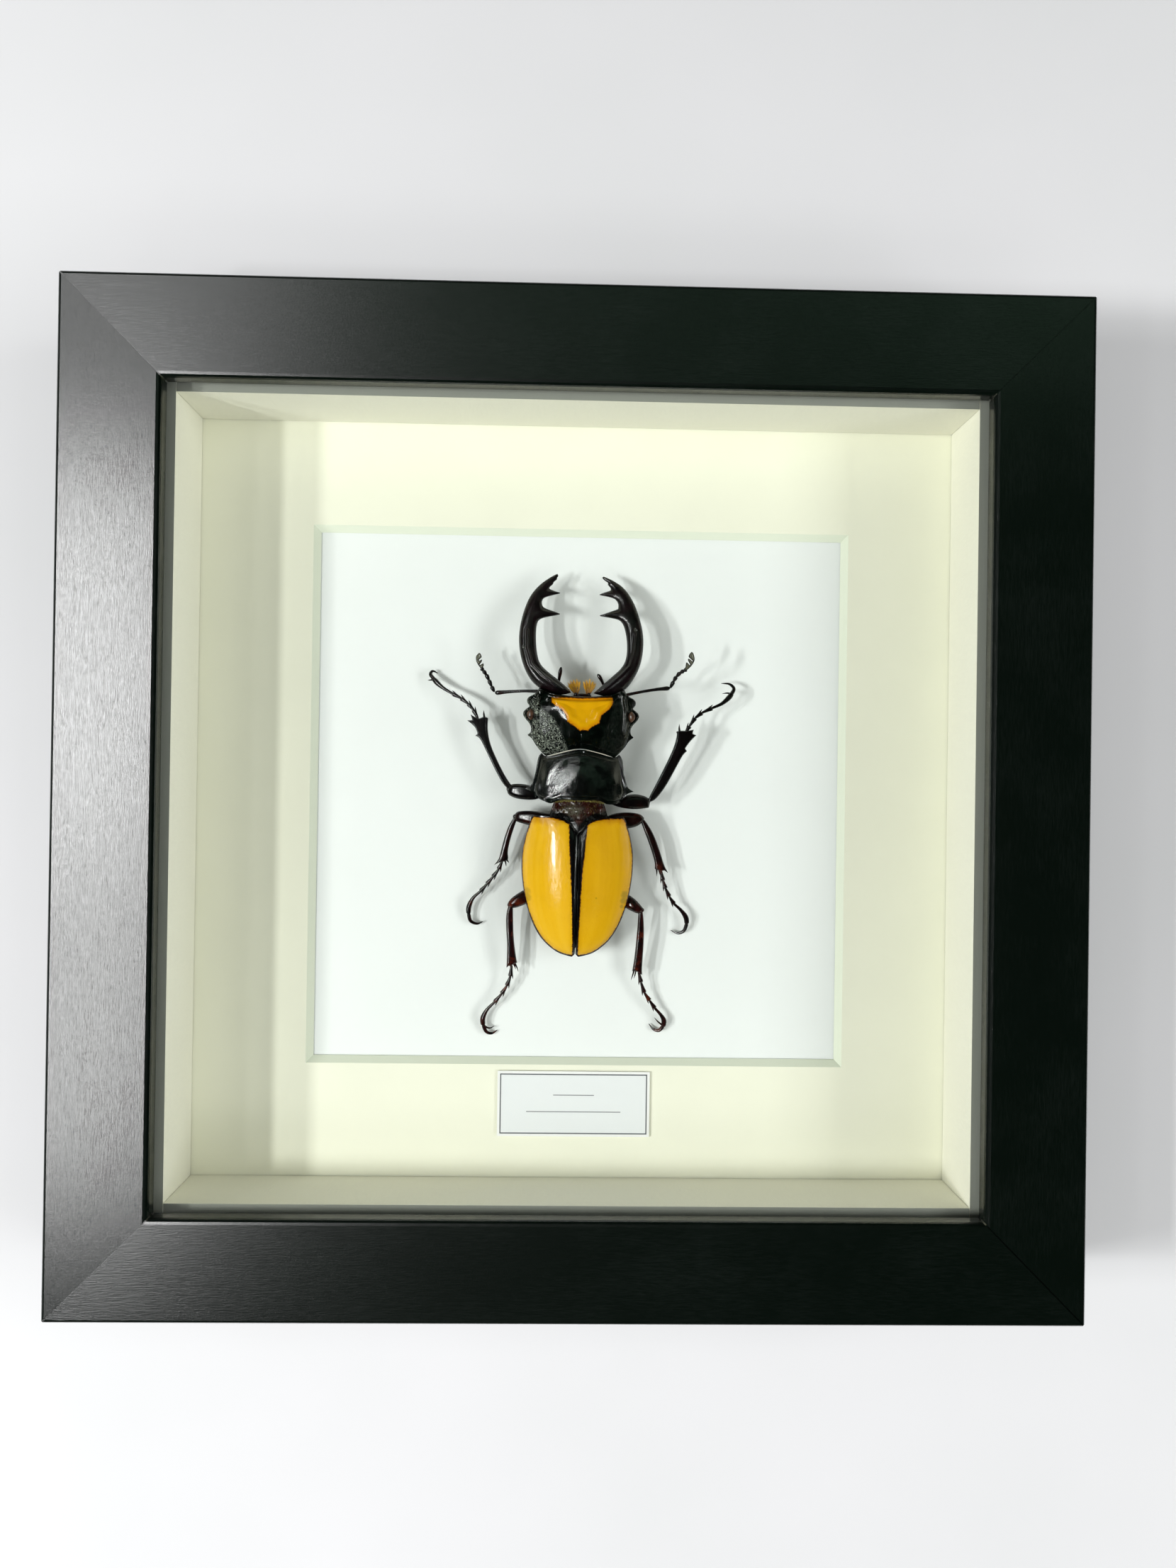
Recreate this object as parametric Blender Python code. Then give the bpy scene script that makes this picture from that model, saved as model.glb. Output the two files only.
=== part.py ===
"""Framed stag beetle: an insect spread on a board in a deep black box frame.

The frame lies on its back with the glass up. +Z points out of the glass, +X to the right of
the display and +Y to its top. The origin is the middle of the back, so the frame reaches
from z = 0 to its front face. Lengths and points are millimetres here, and add_piece() turns
each mesh to metres. Heights of the beetle's parts are counted from the board it lies on.
"""

import math

import bmesh
import bpy
from mathutils import Matrix, Vector

MM = 0.001

# Moulding
OUTER = 206.0
DEPTH = 33.0
FACE_WIDTH = 20.4
BODY_WIDTH = 13.8
LIP_THICKNESS = 3.4
OUTER_ROUND = 0.7
LIP_ROUND = 1.0
MITRE_GAP = 0.3

# What the moulding holds, from the front to the back, with a small gap between layers
LAYER_GAP = 0.2
GLASS_THICKNESS = 2.0
PANE_SIZE = 177.0
SPACER_OPENING = 163.2
SPACER_THICKNESS = 5.0
MOUNT_THICKNESS = 1.4
WINDOW_SIZE = 116.5
WINDOW_SHIFT = Vector((0.9, 1.0))
BOARD_TOP = 8.5
BOARD_THICKNESS = 3.2
BACK_BOARD_THICKNESS = 2.5
LABEL_SIZE = (33.0, 14.1)
LABEL_CENTRE = Vector((0.7, -65.6))
LABEL_THICKNESS = 0.3

# Fixings on the back
TAB_SIZE = (8.0, 12.0, 0.4)
TAB_PLACE = 52.0
TAB_SLOT_DEPTH = 4.0
TAB_SLOT_CLEARANCE = 0.25
HANGER_SIZE = (44.0, 10.0, 0.8)
HANGER_Y = 74.0
HANGER_LIFT = 0.9
HANGER_TEETH = 9
RIVET_RADIUS = 1.6

# Beetle
BODY_PLACE = Vector((0.5, -6.3))
BODY_LEAN = math.radians(-0.6)
BODY_AXIS = 0.3
PIECE_GAP = 0.3

GLASS_TOP = DEPTH - LIP_THICKNESS - LAYER_GAP
GLASS_BOTTOM = GLASS_TOP - GLASS_THICKNESS
MOUNT_BOTTOM = BOARD_TOP + LAYER_GAP
MOUNT_TOP = MOUNT_BOTTOM + MOUNT_THICKNESS
BOARD_BOTTOM = BOARD_TOP - BOARD_THICKNESS
BACK_TOP = BOARD_BOTTOM - LAYER_GAP
BACK_BOTTOM = BACK_TOP - BACK_BOARD_THICKNESS


# Finishes


def finish(name, colour, roughness, metallic=0.0):
    """A plain material with the colour, roughness and metal value of one kind of surface."""
    material = bpy.data.materials.new(name)
    material.use_nodes = True
    shader = material.node_tree.nodes["Principled BSDF"]
    shader.inputs["Base Color"].default_value = (*colour, 1.0)
    shader.inputs["Roughness"].default_value = roughness
    shader.inputs["Metallic"].default_value = metallic
    material.diffuse_color = (*colour, 1.0)
    return material


# Shells: each is a list of points and a list of faces, closed


def box_shell(low, high):
    """A box between two corners."""
    points = [(x, y, z) for z in (low[2], high[2]) for y in (low[1], high[1]) for x in (low[0], high[0])]
    faces = [(0, 2, 3, 1), (4, 5, 7, 6), (0, 1, 5, 4), (2, 6, 7, 3), (0, 4, 6, 2), (1, 3, 7, 5)]
    return points, faces


def sweep_shell(stations, sides):
    """A body through rings. A station is a centre and the two half axes of its oval."""
    points = []
    for centre, across, up in stations:
        for k in range(sides):
            angle = 2 * math.pi * (k + 0.5) / sides
            points.append(centre + across * math.cos(angle) + up * math.sin(angle))
    faces = []
    for i in range(len(stations) - 1):
        for k in range(sides):
            n = (k + 1) % sides
            faces.append((i * sides + k, i * sides + n, (i + 1) * sides + n, (i + 1) * sides + k))
    faces.append(tuple(reversed(range(sides))))
    faces.append(tuple(range((len(stations) - 1) * sides, len(stations) * sides)))
    return points, faces


def limb_shell(path, radii, sides):
    """A tapering limb along a path of points, with a half width and a half height at each."""
    path = [Vector(p) for p in path]
    stations = []
    for i, centre in enumerate(path):
        along = path[min(i + 1, len(path) - 1)] - path[max(i - 1, 0)]
        across = Vector((0, 0, 1)).cross(along).normalized()
        up = along.cross(across).normalized()
        width, height = radii[i] if isinstance(radii[i], tuple) else (radii[i], radii[i])
        stations.append((centre, across * width, up * height))
    return sweep_shell(stations, sides)


def grid_shell(rows, columns, top, bottom):
    """A plate with a top and an underside, each a grid of points, joined all round its edge."""
    points = [top(i, j) for i in range(rows) for j in range(columns)]
    points += [bottom(i, j) for i in range(rows) for j in range(columns)]
    under = rows * columns

    def at(i, j, layer=0):
        return layer * under + i * columns + j

    faces = []
    for i in range(rows - 1):
        for j in range(columns - 1):
            faces.append((at(i, j), at(i, j + 1), at(i + 1, j + 1), at(i + 1, j)))
            faces.append((at(i, j, 1), at(i + 1, j, 1), at(i + 1, j + 1, 1), at(i, j + 1, 1)))
    for i in range(rows - 1):
        faces.append((at(i, 0), at(i + 1, 0), at(i + 1, 0, 1), at(i, 0, 1)))
        last = columns - 1
        faces.append((at(i + 1, last), at(i, last), at(i, last, 1), at(i + 1, last, 1)))
    for j in range(columns - 1):
        faces.append((at(0, j + 1), at(0, j), at(0, j, 1), at(0, j + 1, 1)))
        last = rows - 1
        faces.append((at(last, j), at(last, j + 1), at(last, j + 1, 1), at(last, j, 1)))
    return points, faces


# Pieces


def mesh_of(name, shell, place=None):
    """A mesh in metres with its faces pointing out."""
    points, faces = shell
    mesh = bpy.data.meshes.new(name)
    mesh.from_pydata([tuple(MM * c for c in (place @ Vector(p) if place else p)) for p in points], [], faces)
    work = bmesh.new()
    work.from_mesh(mesh)
    bmesh.ops.recalc_face_normals(work, faces=work.faces)
    work.to_mesh(mesh)
    work.free()
    return mesh


def add_piece(name, shell, material, place=None, smooth_angle=None):
    """One named object from one shell, shaded smooth up to an angle if one is given."""
    mesh = mesh_of(name, shell, place)
    mesh.materials.append(material)
    if smooth_angle is not None:
        mesh.shade_smooth()
        mesh.set_sharp_from_angle(angle=math.radians(smooth_angle))
    piece = bpy.data.objects.new(name, mesh)
    bpy.context.scene.collection.objects.link(piece)
    return piece


def add_helper(name, shell, place=None):
    """A cutter or another helper, which isn't a piece of its own."""
    helper = bpy.data.objects.new(name, mesh_of(name, shell, place))
    helper.hide_render = True
    helper.display_type = "WIRE"
    bpy.context.scene.collection.objects.link(helper)
    return helper


def add_boolean(piece, other, operation):
    """A live Boolean of one object on another."""
    modifier = piece.modifiers.new(other.name, "BOOLEAN")
    modifier.operation = operation
    modifier.solver = "EXACT"
    modifier.object = other
    return modifier


def add_joined(name, shells, material, place, smooth_angle=50):
    """One piece grown together from several closed shells that run into each other."""
    piece = add_piece(name, shells[0], material, place, smooth_angle)
    bpy.context.view_layer.objects.active = piece
    for number, shell in enumerate(shells[1:]):
        limb = add_helper(f"{name}_limb_{number}", shell, place)
        modifier = add_boolean(piece, limb, "UNION")
        bpy.ops.object.modifier_apply(modifier=modifier.name)
        bpy.data.objects.remove(limb)
    piece.data.shade_smooth()
    piece.data.set_sharp_from_angle(angle=math.radians(smooth_angle))
    return piece


# Moulding


def arc(centre, radius, first, last, steps):
    """Points on an arc, with its angles in degrees."""
    angles = [math.radians(first + (last - first) * k / steps) for k in range(steps + 1)]
    return [(centre[0] + radius * math.cos(a), centre[1] + radius * math.sin(a)) for a in angles]


def rail_profile():
    """The moulding's section: how far in from the outer side, and how high above the back."""
    lip_bottom = DEPTH - LIP_THICKNESS
    profile = [(0.5, 0.0), (0.0, 0.5)]
    profile += arc((OUTER_ROUND, DEPTH - OUTER_ROUND), OUTER_ROUND, 180, 90, 3)
    profile += arc((FACE_WIDTH - LIP_ROUND, DEPTH - LIP_ROUND), LIP_ROUND, 90, 0, 3)
    profile += [(FACE_WIDTH, lip_bottom), (BODY_WIDTH, lip_bottom), (BODY_WIDTH, 0.0)]
    return profile


def add_rails(material):
    """Four rails, cut at 45 degrees and turned round the frame's middle."""
    profile = rail_profile()
    half = OUTER / 2
    cut_back = MITRE_GAP / 2 * math.sqrt(2)
    points = []
    for side in (-1, 1):
        points += [(side * (half - inwards - cut_back), inwards - half, z) for inwards, z in profile]
    count = len(profile)
    faces = [(k, (k + 1) % count, count + (k + 1) % count, count + k) for k in range(count)]
    faces += [tuple(range(count)), tuple(range(count, 2 * count))]
    rails = {}
    for number, side in enumerate(("bottom", "right", "top", "left")):
        turn = Matrix.Rotation(math.radians(90 * number), 4, "Z")
        rails[side] = add_piece(f"rail_{side}", (points, faces), material, turn, 30)
    return rails


def add_tabs(rails, material):
    """Two flat tabs in slots of each rail, which hold the back board in."""
    width, length, thick = TAB_SIZE
    rebate_wall = BODY_WIDTH - OUTER / 2
    top = BACK_BOTTOM - PIECE_GAP
    outer_end = rebate_wall - TAB_SLOT_DEPTH
    slot = TAB_SLOT_CLEARANCE
    for number, (side, rail) in enumerate(rails.items()):
        turn = Matrix.Rotation(math.radians(90 * number), 4, "Z")
        for place, end in ((-TAB_PLACE, "a"), (TAB_PLACE, "b")):
            low = (place - width / 2, outer_end, top - thick)
            high = (place + width / 2, outer_end + length, top)
            add_piece(f"tab_{side}_{end}", box_shell(low, high), material, turn)
            low = (low[0] - slot, low[1] - slot, low[2] - slot)
            high = (high[0] + slot, rebate_wall + 1, high[2] + slot)
            cutter = add_helper(f"cutter_{side}_{end}", box_shell(low, high), turn)
            add_boolean(rail, cutter, "DIFFERENCE")


# Layers between the moulding and its back


def slab(size, bottom, top):
    """A square sheet, centred in the frame."""
    half = size / 2
    return box_shell((-half, -half, bottom), (half, half, top))


def add_spacers(material):
    """Four strips: two run the full height, two fit between them."""
    inner = SPACER_OPENING / 2
    outer = inner + SPACER_THICKNESS
    low = MOUNT_TOP + LAYER_GAP
    high = GLASS_BOTTOM - LAYER_GAP
    short = inner - LAYER_GAP / 2
    for name, x, y in (
        ("left", (-outer, -inner), (-outer, outer)),
        ("right", (inner, outer), (-outer, outer)),
        ("top", (-short, short), (inner, outer)),
        ("bottom", (-short, short), (-outer, -inner)),
    ):
        shell = box_shell((x[0], y[0], low), (x[1], y[1], high))
        add_piece(f"spacer_{name}", shell, material)


def add_mount_board(material):
    """A board with a square window, whose edge is bevelled outwards to the front."""
    outer = PANE_SIZE / 2
    front = WINDOW_SIZE / 2
    back = front - MOUNT_THICKNESS
    rings = (
        (outer, MOUNT_TOP, (0, 0)),
        (front, MOUNT_TOP, WINDOW_SHIFT),
        (back, MOUNT_BOTTOM, WINDOW_SHIFT),
        (outer, MOUNT_BOTTOM, (0, 0)),
    )
    points = []
    for half, z, shift in rings:
        corners = ((-1, -1), (1, -1), (1, 1), (-1, 1))
        points += [(x * half + shift[0], y * half + shift[1], z) for x, y in corners]
    faces = []
    for ring in range(4):
        after = (ring + 1) % 4
        for k in range(4):
            n = (k + 1) % 4
            faces.append((ring * 4 + k, ring * 4 + n, after * 4 + n, after * 4 + k))
    add_piece("mount_board", (points, faces), material)


def add_label(material):
    """A plain card that lies on the mount under the window."""
    half = Vector(LABEL_SIZE) / 2
    bottom = MOUNT_TOP + LAYER_GAP
    low = (*(LABEL_CENTRE - half), bottom)
    high = (*(LABEL_CENTRE + half), bottom + LABEL_THICKNESS)
    add_piece("label", box_shell(low, high), material)


def add_hanger(steel):
    """A plate riveted to the back board, its middle bent clear of the board and toothed below."""
    length, height, thick = HANGER_SIZE
    flat_top = BACK_BOTTOM - LAYER_GAP
    toothed = length * 0.6
    pitch = toothed / HANGER_TEETH
    half = length / 2
    low_edge = [(-half, 0.0), (-half + 4, 0.0)]
    for k in range(HANGER_TEETH):
        start = -toothed / 2 + k * pitch
        low_edge += [(start, 0.6), (start + pitch / 2, 2.2)]
    low_edge += [(toothed / 2, 0.6), (half - 4, 0.0), (half, 0.0)]
    count = len(low_edge)
    points = []
    for z in (flat_top, flat_top - thick):
        for edge in (low_edge, [(x, height) for x, y in low_edge]):
            for x, y in edge:
                bent = HANGER_LIFT if abs(x) <= toothed / 2 else 0.0
                points.append((x, HANGER_Y + y, z - bent))
    faces = []
    for layer in (0, 2 * count):
        for k in range(count - 1):
            faces.append((layer + k, layer + k + 1, layer + count + k + 1, layer + count + k))
    for edge in (0, count):
        for k in range(count - 1):
            a = edge + k
            faces.append((a, a + 1, a + 1 + 2 * count, a + 2 * count))
    for k in (0, count - 1):
        faces.append((k, k + count, k + 3 * count, k + 2 * count))
    add_piece("hanger", (points, faces), steel)
    rivet_x = half - 3
    rivet_y = HANGER_Y + height / 2
    for side, name in ((-1, "left"), (1, "right")):
        centre = Vector((side * rivet_x, rivet_y, 0))
        levels = ((flat_top - thick - 0.3, 1.0), (flat_top - thick - 0.6, 0.9), (flat_top - thick - 0.8, 0.5))
        across = Vector((RIVET_RADIUS, 0, 0))
        up = Vector((0, RIVET_RADIUS, 0))
        rings = [(centre + Vector((0, 0, z)), across * size, up * size) for z, size in levels]
        add_piece(f"hanger_rivet_{name}", sweep_shell(rings, 12), steel, smooth_angle=40)


def add_frame():
    """The whole frame with its boards, without the beetle."""
    black = finish("black_moulding", (0.012, 0.013, 0.012), 0.28)
    clear = finish("clear_glass", (0.95, 0.97, 0.96), 0.02)
    spacer = finish("spacer_board", (0.78, 0.77, 0.72), 0.8)
    cream = finish("cream_mount", (0.86, 0.84, 0.72), 0.85)
    white = finish("white_board", (0.88, 0.89, 0.89), 0.8)
    card = finish("label_card", (0.84, 0.84, 0.83), 0.7)
    brown = finish("brown_hardboard", (0.28, 0.17, 0.09), 0.75)
    steel = finish("zinc_steel", (0.55, 0.55, 0.53), 0.4, 1.0)
    rails = add_rails(black)
    add_tabs(rails, steel)
    add_piece("glass", slab(PANE_SIZE, GLASS_BOTTOM, GLASS_TOP), clear)
    add_spacers(spacer)
    add_mount_board(cream)
    add_piece("specimen_board", slab(PANE_SIZE, BOARD_BOTTOM, BOARD_TOP), white)
    add_label(card)
    add_piece("back_board", slab(PANE_SIZE, BACK_BOTTOM, BACK_TOP), brown)
    add_hanger(steel)


# Body plates of the beetle: y runs from tail to head, and a half width is taken from the
# middle of the body


def dome(edge, crown, u, power=2.4):
    """Height across a rounded back, from the crown at u = 0 to the edge at u = 1."""
    return edge + (crown - edge) * (1 - min(abs(u), 1) ** power) ** 0.6


def plate_shell(rows, columns, underside):
    """A domed plate from rows of (edge y, half width, middle y, crown height, edge height)."""

    def spread(i, j):
        edge_y, half, middle_y, crown, edge = rows[i]
        u = 2 * j / (columns - 1) - 1
        x = BODY_AXIS + u * half
        y = edge_y + (middle_y - edge_y) * (1 - u * u)
        return u, x, y, crown, edge

    def top(i, j):
        u, x, y, crown, edge = spread(i, j)
        return x, y, dome(edge, crown, u)

    def bottom(i, j):
        u, x, y, crown, edge = spread(i, j)
        return x, y, underside(abs(u), edge)

    return grid_shell(len(rows), columns, top, bottom)


def head_shell():
    """The wide flat head, with a hollow front edge and lobed sides."""
    rows = (
        (30.0, 9.4, 28.8, 9.2, 7.8),
        (28.8, 10.3, 27.9, 9.8, 8.0),
        (28.1, 11.3, 27.2, 9.9, 8.0),
        (26.4, 11.3, 25.9, 9.7, 7.9),
        (25.8, 11.2, 25.3, 9.7, 7.8),
        (23.5, 11.2, 23.5, 10.0, 7.8),
        (22.0, 10.7, 22.2, 10.0, 7.6),
        (20.4, 11.2, 21.0, 9.8, 7.4),
        (19.5, 10.4, 20.1, 9.6, 7.2),
        (17.9, 9.0, 18.8, 9.0, 7.0),
        (16.6, 7.8, 17.9, 8.3, 6.8),
    )
    return plate_shell(rows, 13, lambda u, edge: edge - 0.8 if u > 0.95 else 2.6 + 3.2 * u**3)


def pronotum_shell():
    """The shield behind the head, with a spine at each rear corner."""
    rows = (
        (16.2, 8.3, 17.4, 8.8, 7.6),
        (15.0, 9.1, 16.6, 9.8, 7.6),
        (12.6, 9.4, 14.2, 10.8, 7.8),
        (11.0, 9.8, 12.0, 11.0, 7.9),
        (9.7, 10.8, 10.4, 10.9, 8.0),
        (9.0, 11.1, 9.4, 10.7, 8.0),
        (8.2, 9.6, 8.5, 10.4, 8.0),
        (7.4, 8.7, 7.6, 10.0, 8.0),
        (6.3, 8.4, 6.6, 9.3, 8.0),
    )
    return plate_shell(rows, 13, lambda u, edge: 2.6 if u < 0.6 else 2.6 + 4.7 * min((u - 0.6) / 0.2, 1))


def wing_front(x):
    """Where the front edge of the wing cases lies, as far from the seam as x."""
    return 3.2 * (1 - (1 - min(abs(x), 9.6) / 9.6) ** 4)


def mesothorax_shell():
    """The narrow waist between pronotum and wing cases, with the scutellum's point behind."""
    across = (-5.6, -4.2, -2.8, -1.7, -0.8, 0.0, 0.8, 1.7, 2.8, 4.2, 5.6)
    crowns = (8.0, 8.3, 8.8, 10.0)

    def spread(i, j):
        back = wing_front(across[j]) + PIECE_GAP + 0.1
        return BODY_AXIS + across[j], 5.9 + (back - 5.9) * i / 3

    def top(i, j):
        return *spread(i, j), dome(6.2, crowns[i], across[j] / 5.6)

    def bottom(i, j):
        return *spread(i, j), 1.6

    return grid_shell(4, len(across), top, bottom)


WING_ROWS = (
    (3.2, 9.6, 0.0, 10.4, 8.4),
    (2.6, 10.3, -1.0, 11.0, 7.2),
    (-0.3, 11.5, -3.5, 11.8, 5.9),
    (-3.5, 12.0, -6.3, 12.1, 5.3),
    (-7.0, 12.1, -9.4, 12.1, 5.2),
    (-12.0, 11.6, -13.8, 11.7, 5.2),
    (-14.8, 11.0, -16.2, 11.2, 5.2),
    (-17.8, 10.2, -18.8, 10.5, 5.2),
    (-21.6, 8.4, -22.0, 9.2, 5.2),
    (-24.3, 6.1, -24.2, 7.8, 5.2),
    (-26.0, 3.7, -25.4, 6.6, 5.2),
    (-27.0, 1.0, -26.0, 5.7, 5.2),
)
WING_UNDERSIDE = 4.9


def wing_shell(side, columns=9):
    """One wing case, from the seam in the middle to its outer edge."""
    seam = PIECE_GAP / 2

    def spread(i, j):
        edge_y, half, seam_y, crown, edge = WING_ROWS[i]
        u = j / (columns - 1)
        x = BODY_AXIS + side * (seam + u * (half - seam))
        y = edge_y + (seam_y - edge_y) * (1 - u) ** 4
        return u, x, y, crown, edge

    def top(i, j):
        u, x, y, crown, edge = spread(i, j)
        return x, y, dome(edge, crown, u)

    def bottom(i, j):
        u, x, y, crown, edge = spread(i, j)
        return x, y, WING_UNDERSIDE

    return grid_shell(len(WING_ROWS), columns, top, bottom)


def abdomen_shell():
    """The underside of the body below the wing cases, which rests on the board."""
    high = WING_UNDERSIDE - PIECE_GAP
    stations = []
    for y, half, low in (
        (0.0, 5.0, 1.6),
        (-2.0, 8.6, 0.8),
        (-6.0, 9.2, 0.3),
        (-14.0, 9.2, 0.3),
        (-19.0, 7.6, 0.6),
        (-23.0, 4.8, 1.6),
        (-25.2, 1.8, 3.2),
    ):
        centre = Vector((BODY_AXIS, y, (high + low) / 2))
        stations.append((centre, Vector((half, 0, 0)), Vector((0, 0, (high - low) / 2))))
    return sweep_shell(stations, 14)


# Jaws


def jaw_shells(side):
    """One mandible with its teeth: a curved blade swept between its outer and inner edge."""
    edges = (
        ((9.3, 30.4), (2.8, 29.5), 7.2, 2.3),
        ((11.4, 31.9), (5.9, 32.0), 7.4, 2.1),
        ((12.6, 34.8), (8.4, 34.7), 7.2, 1.8),
        ((13.2, 37.6), (9.5, 37.4), 6.8, 1.6),
        ((13.4, 41.0), (9.8, 40.7), 6.4, 1.5),
        ((13.0, 44.0), (9.3, 43.6), 6.1, 1.4),
        ((12.2, 46.8), (8.2, 45.9), 5.7, 1.4),
        ((11.3, 49.1), (8.0, 48.0), 5.3, 1.3),
        ((9.9, 51.5), (7.5, 50.3), 4.8, 1.3),
        ((8.3, 53.4), (6.5, 52.1), 4.2, 1.2),
        ((6.8, 54.6), (5.8, 53.4), 3.8, 0.9),
        ((5.0, 55.4), (4.7, 55.0), 3.5, 0.2),
    )

    def point(place, height):
        return Vector((BODY_AXIS + side * place[0], place[1], height))

    stations = []
    for outer, inner, height, thick in edges:
        centre = (point(outer, height) + point(inner, height)) / 2
        stations.append((centre, point(outer, height) - centre, Vector((0, 0, thick))))
    teeth = (
        (((8.6, 46.5), 5.8, 1.5, 1.1), ((6.6, 46.7), 5.6, 1.0, 0.8), ((4.3, 46.5), 5.3, 0.12, 0.12)),
        (((7.8, 51.3), 4.6, 1.1, 0.9), ((6.0, 51.4), 4.4, 0.7, 0.6), ((4.2, 51.2), 4.1, 0.12, 0.12)),
        (((6.9, 53.2), 4.0, 0.6, 0.5), ((6.0, 52.5), 3.9, 0.15, 0.15)),
        (((6.1, 54.1), 3.8, 0.5, 0.4), ((5.3, 53.5), 3.7, 0.12, 0.12)),
    )
    shells = [sweep_shell(stations, 10)]
    for tooth in teeth:
        path = [point(place, height) for place, height, wide, thick in tooth]
        shells.append(limb_shell(path, [(wide, thick) for place, height, wide, thick in tooth], 8))
    return shells


# Legs: points are (x, y, height) where the middle of the limb passes


def beaded(path, thin, thick):
    """A path and its radii for a row of segments, each swelling towards its far end."""
    points = [Vector(path[0])]
    radii = [thin]
    for near, far in zip(path, path[1:]):
        near, far = Vector(near), Vector(far)
        points += [near.lerp(far, 0.7), far]
        radii += [thick, thin]
    return points, radii


FEMUR_WIDTHS = ((1.5, 1.3), (1.5, 1.3), (1.1, 1.0), (0.6, 0.6))
FORE_TIBIA_WIDTHS = ((0.5, 0.5), (0.65, 0.6), (0.95, 0.7), (1.2, 0.8), (1.8, 0.8), (1.3, 0.6))
REAR_TIBIA_WIDTHS = ((0.45, 0.45), (0.65, 0.6), (0.75, 0.65), (1.05, 0.8), (0.8, 0.6))

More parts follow.
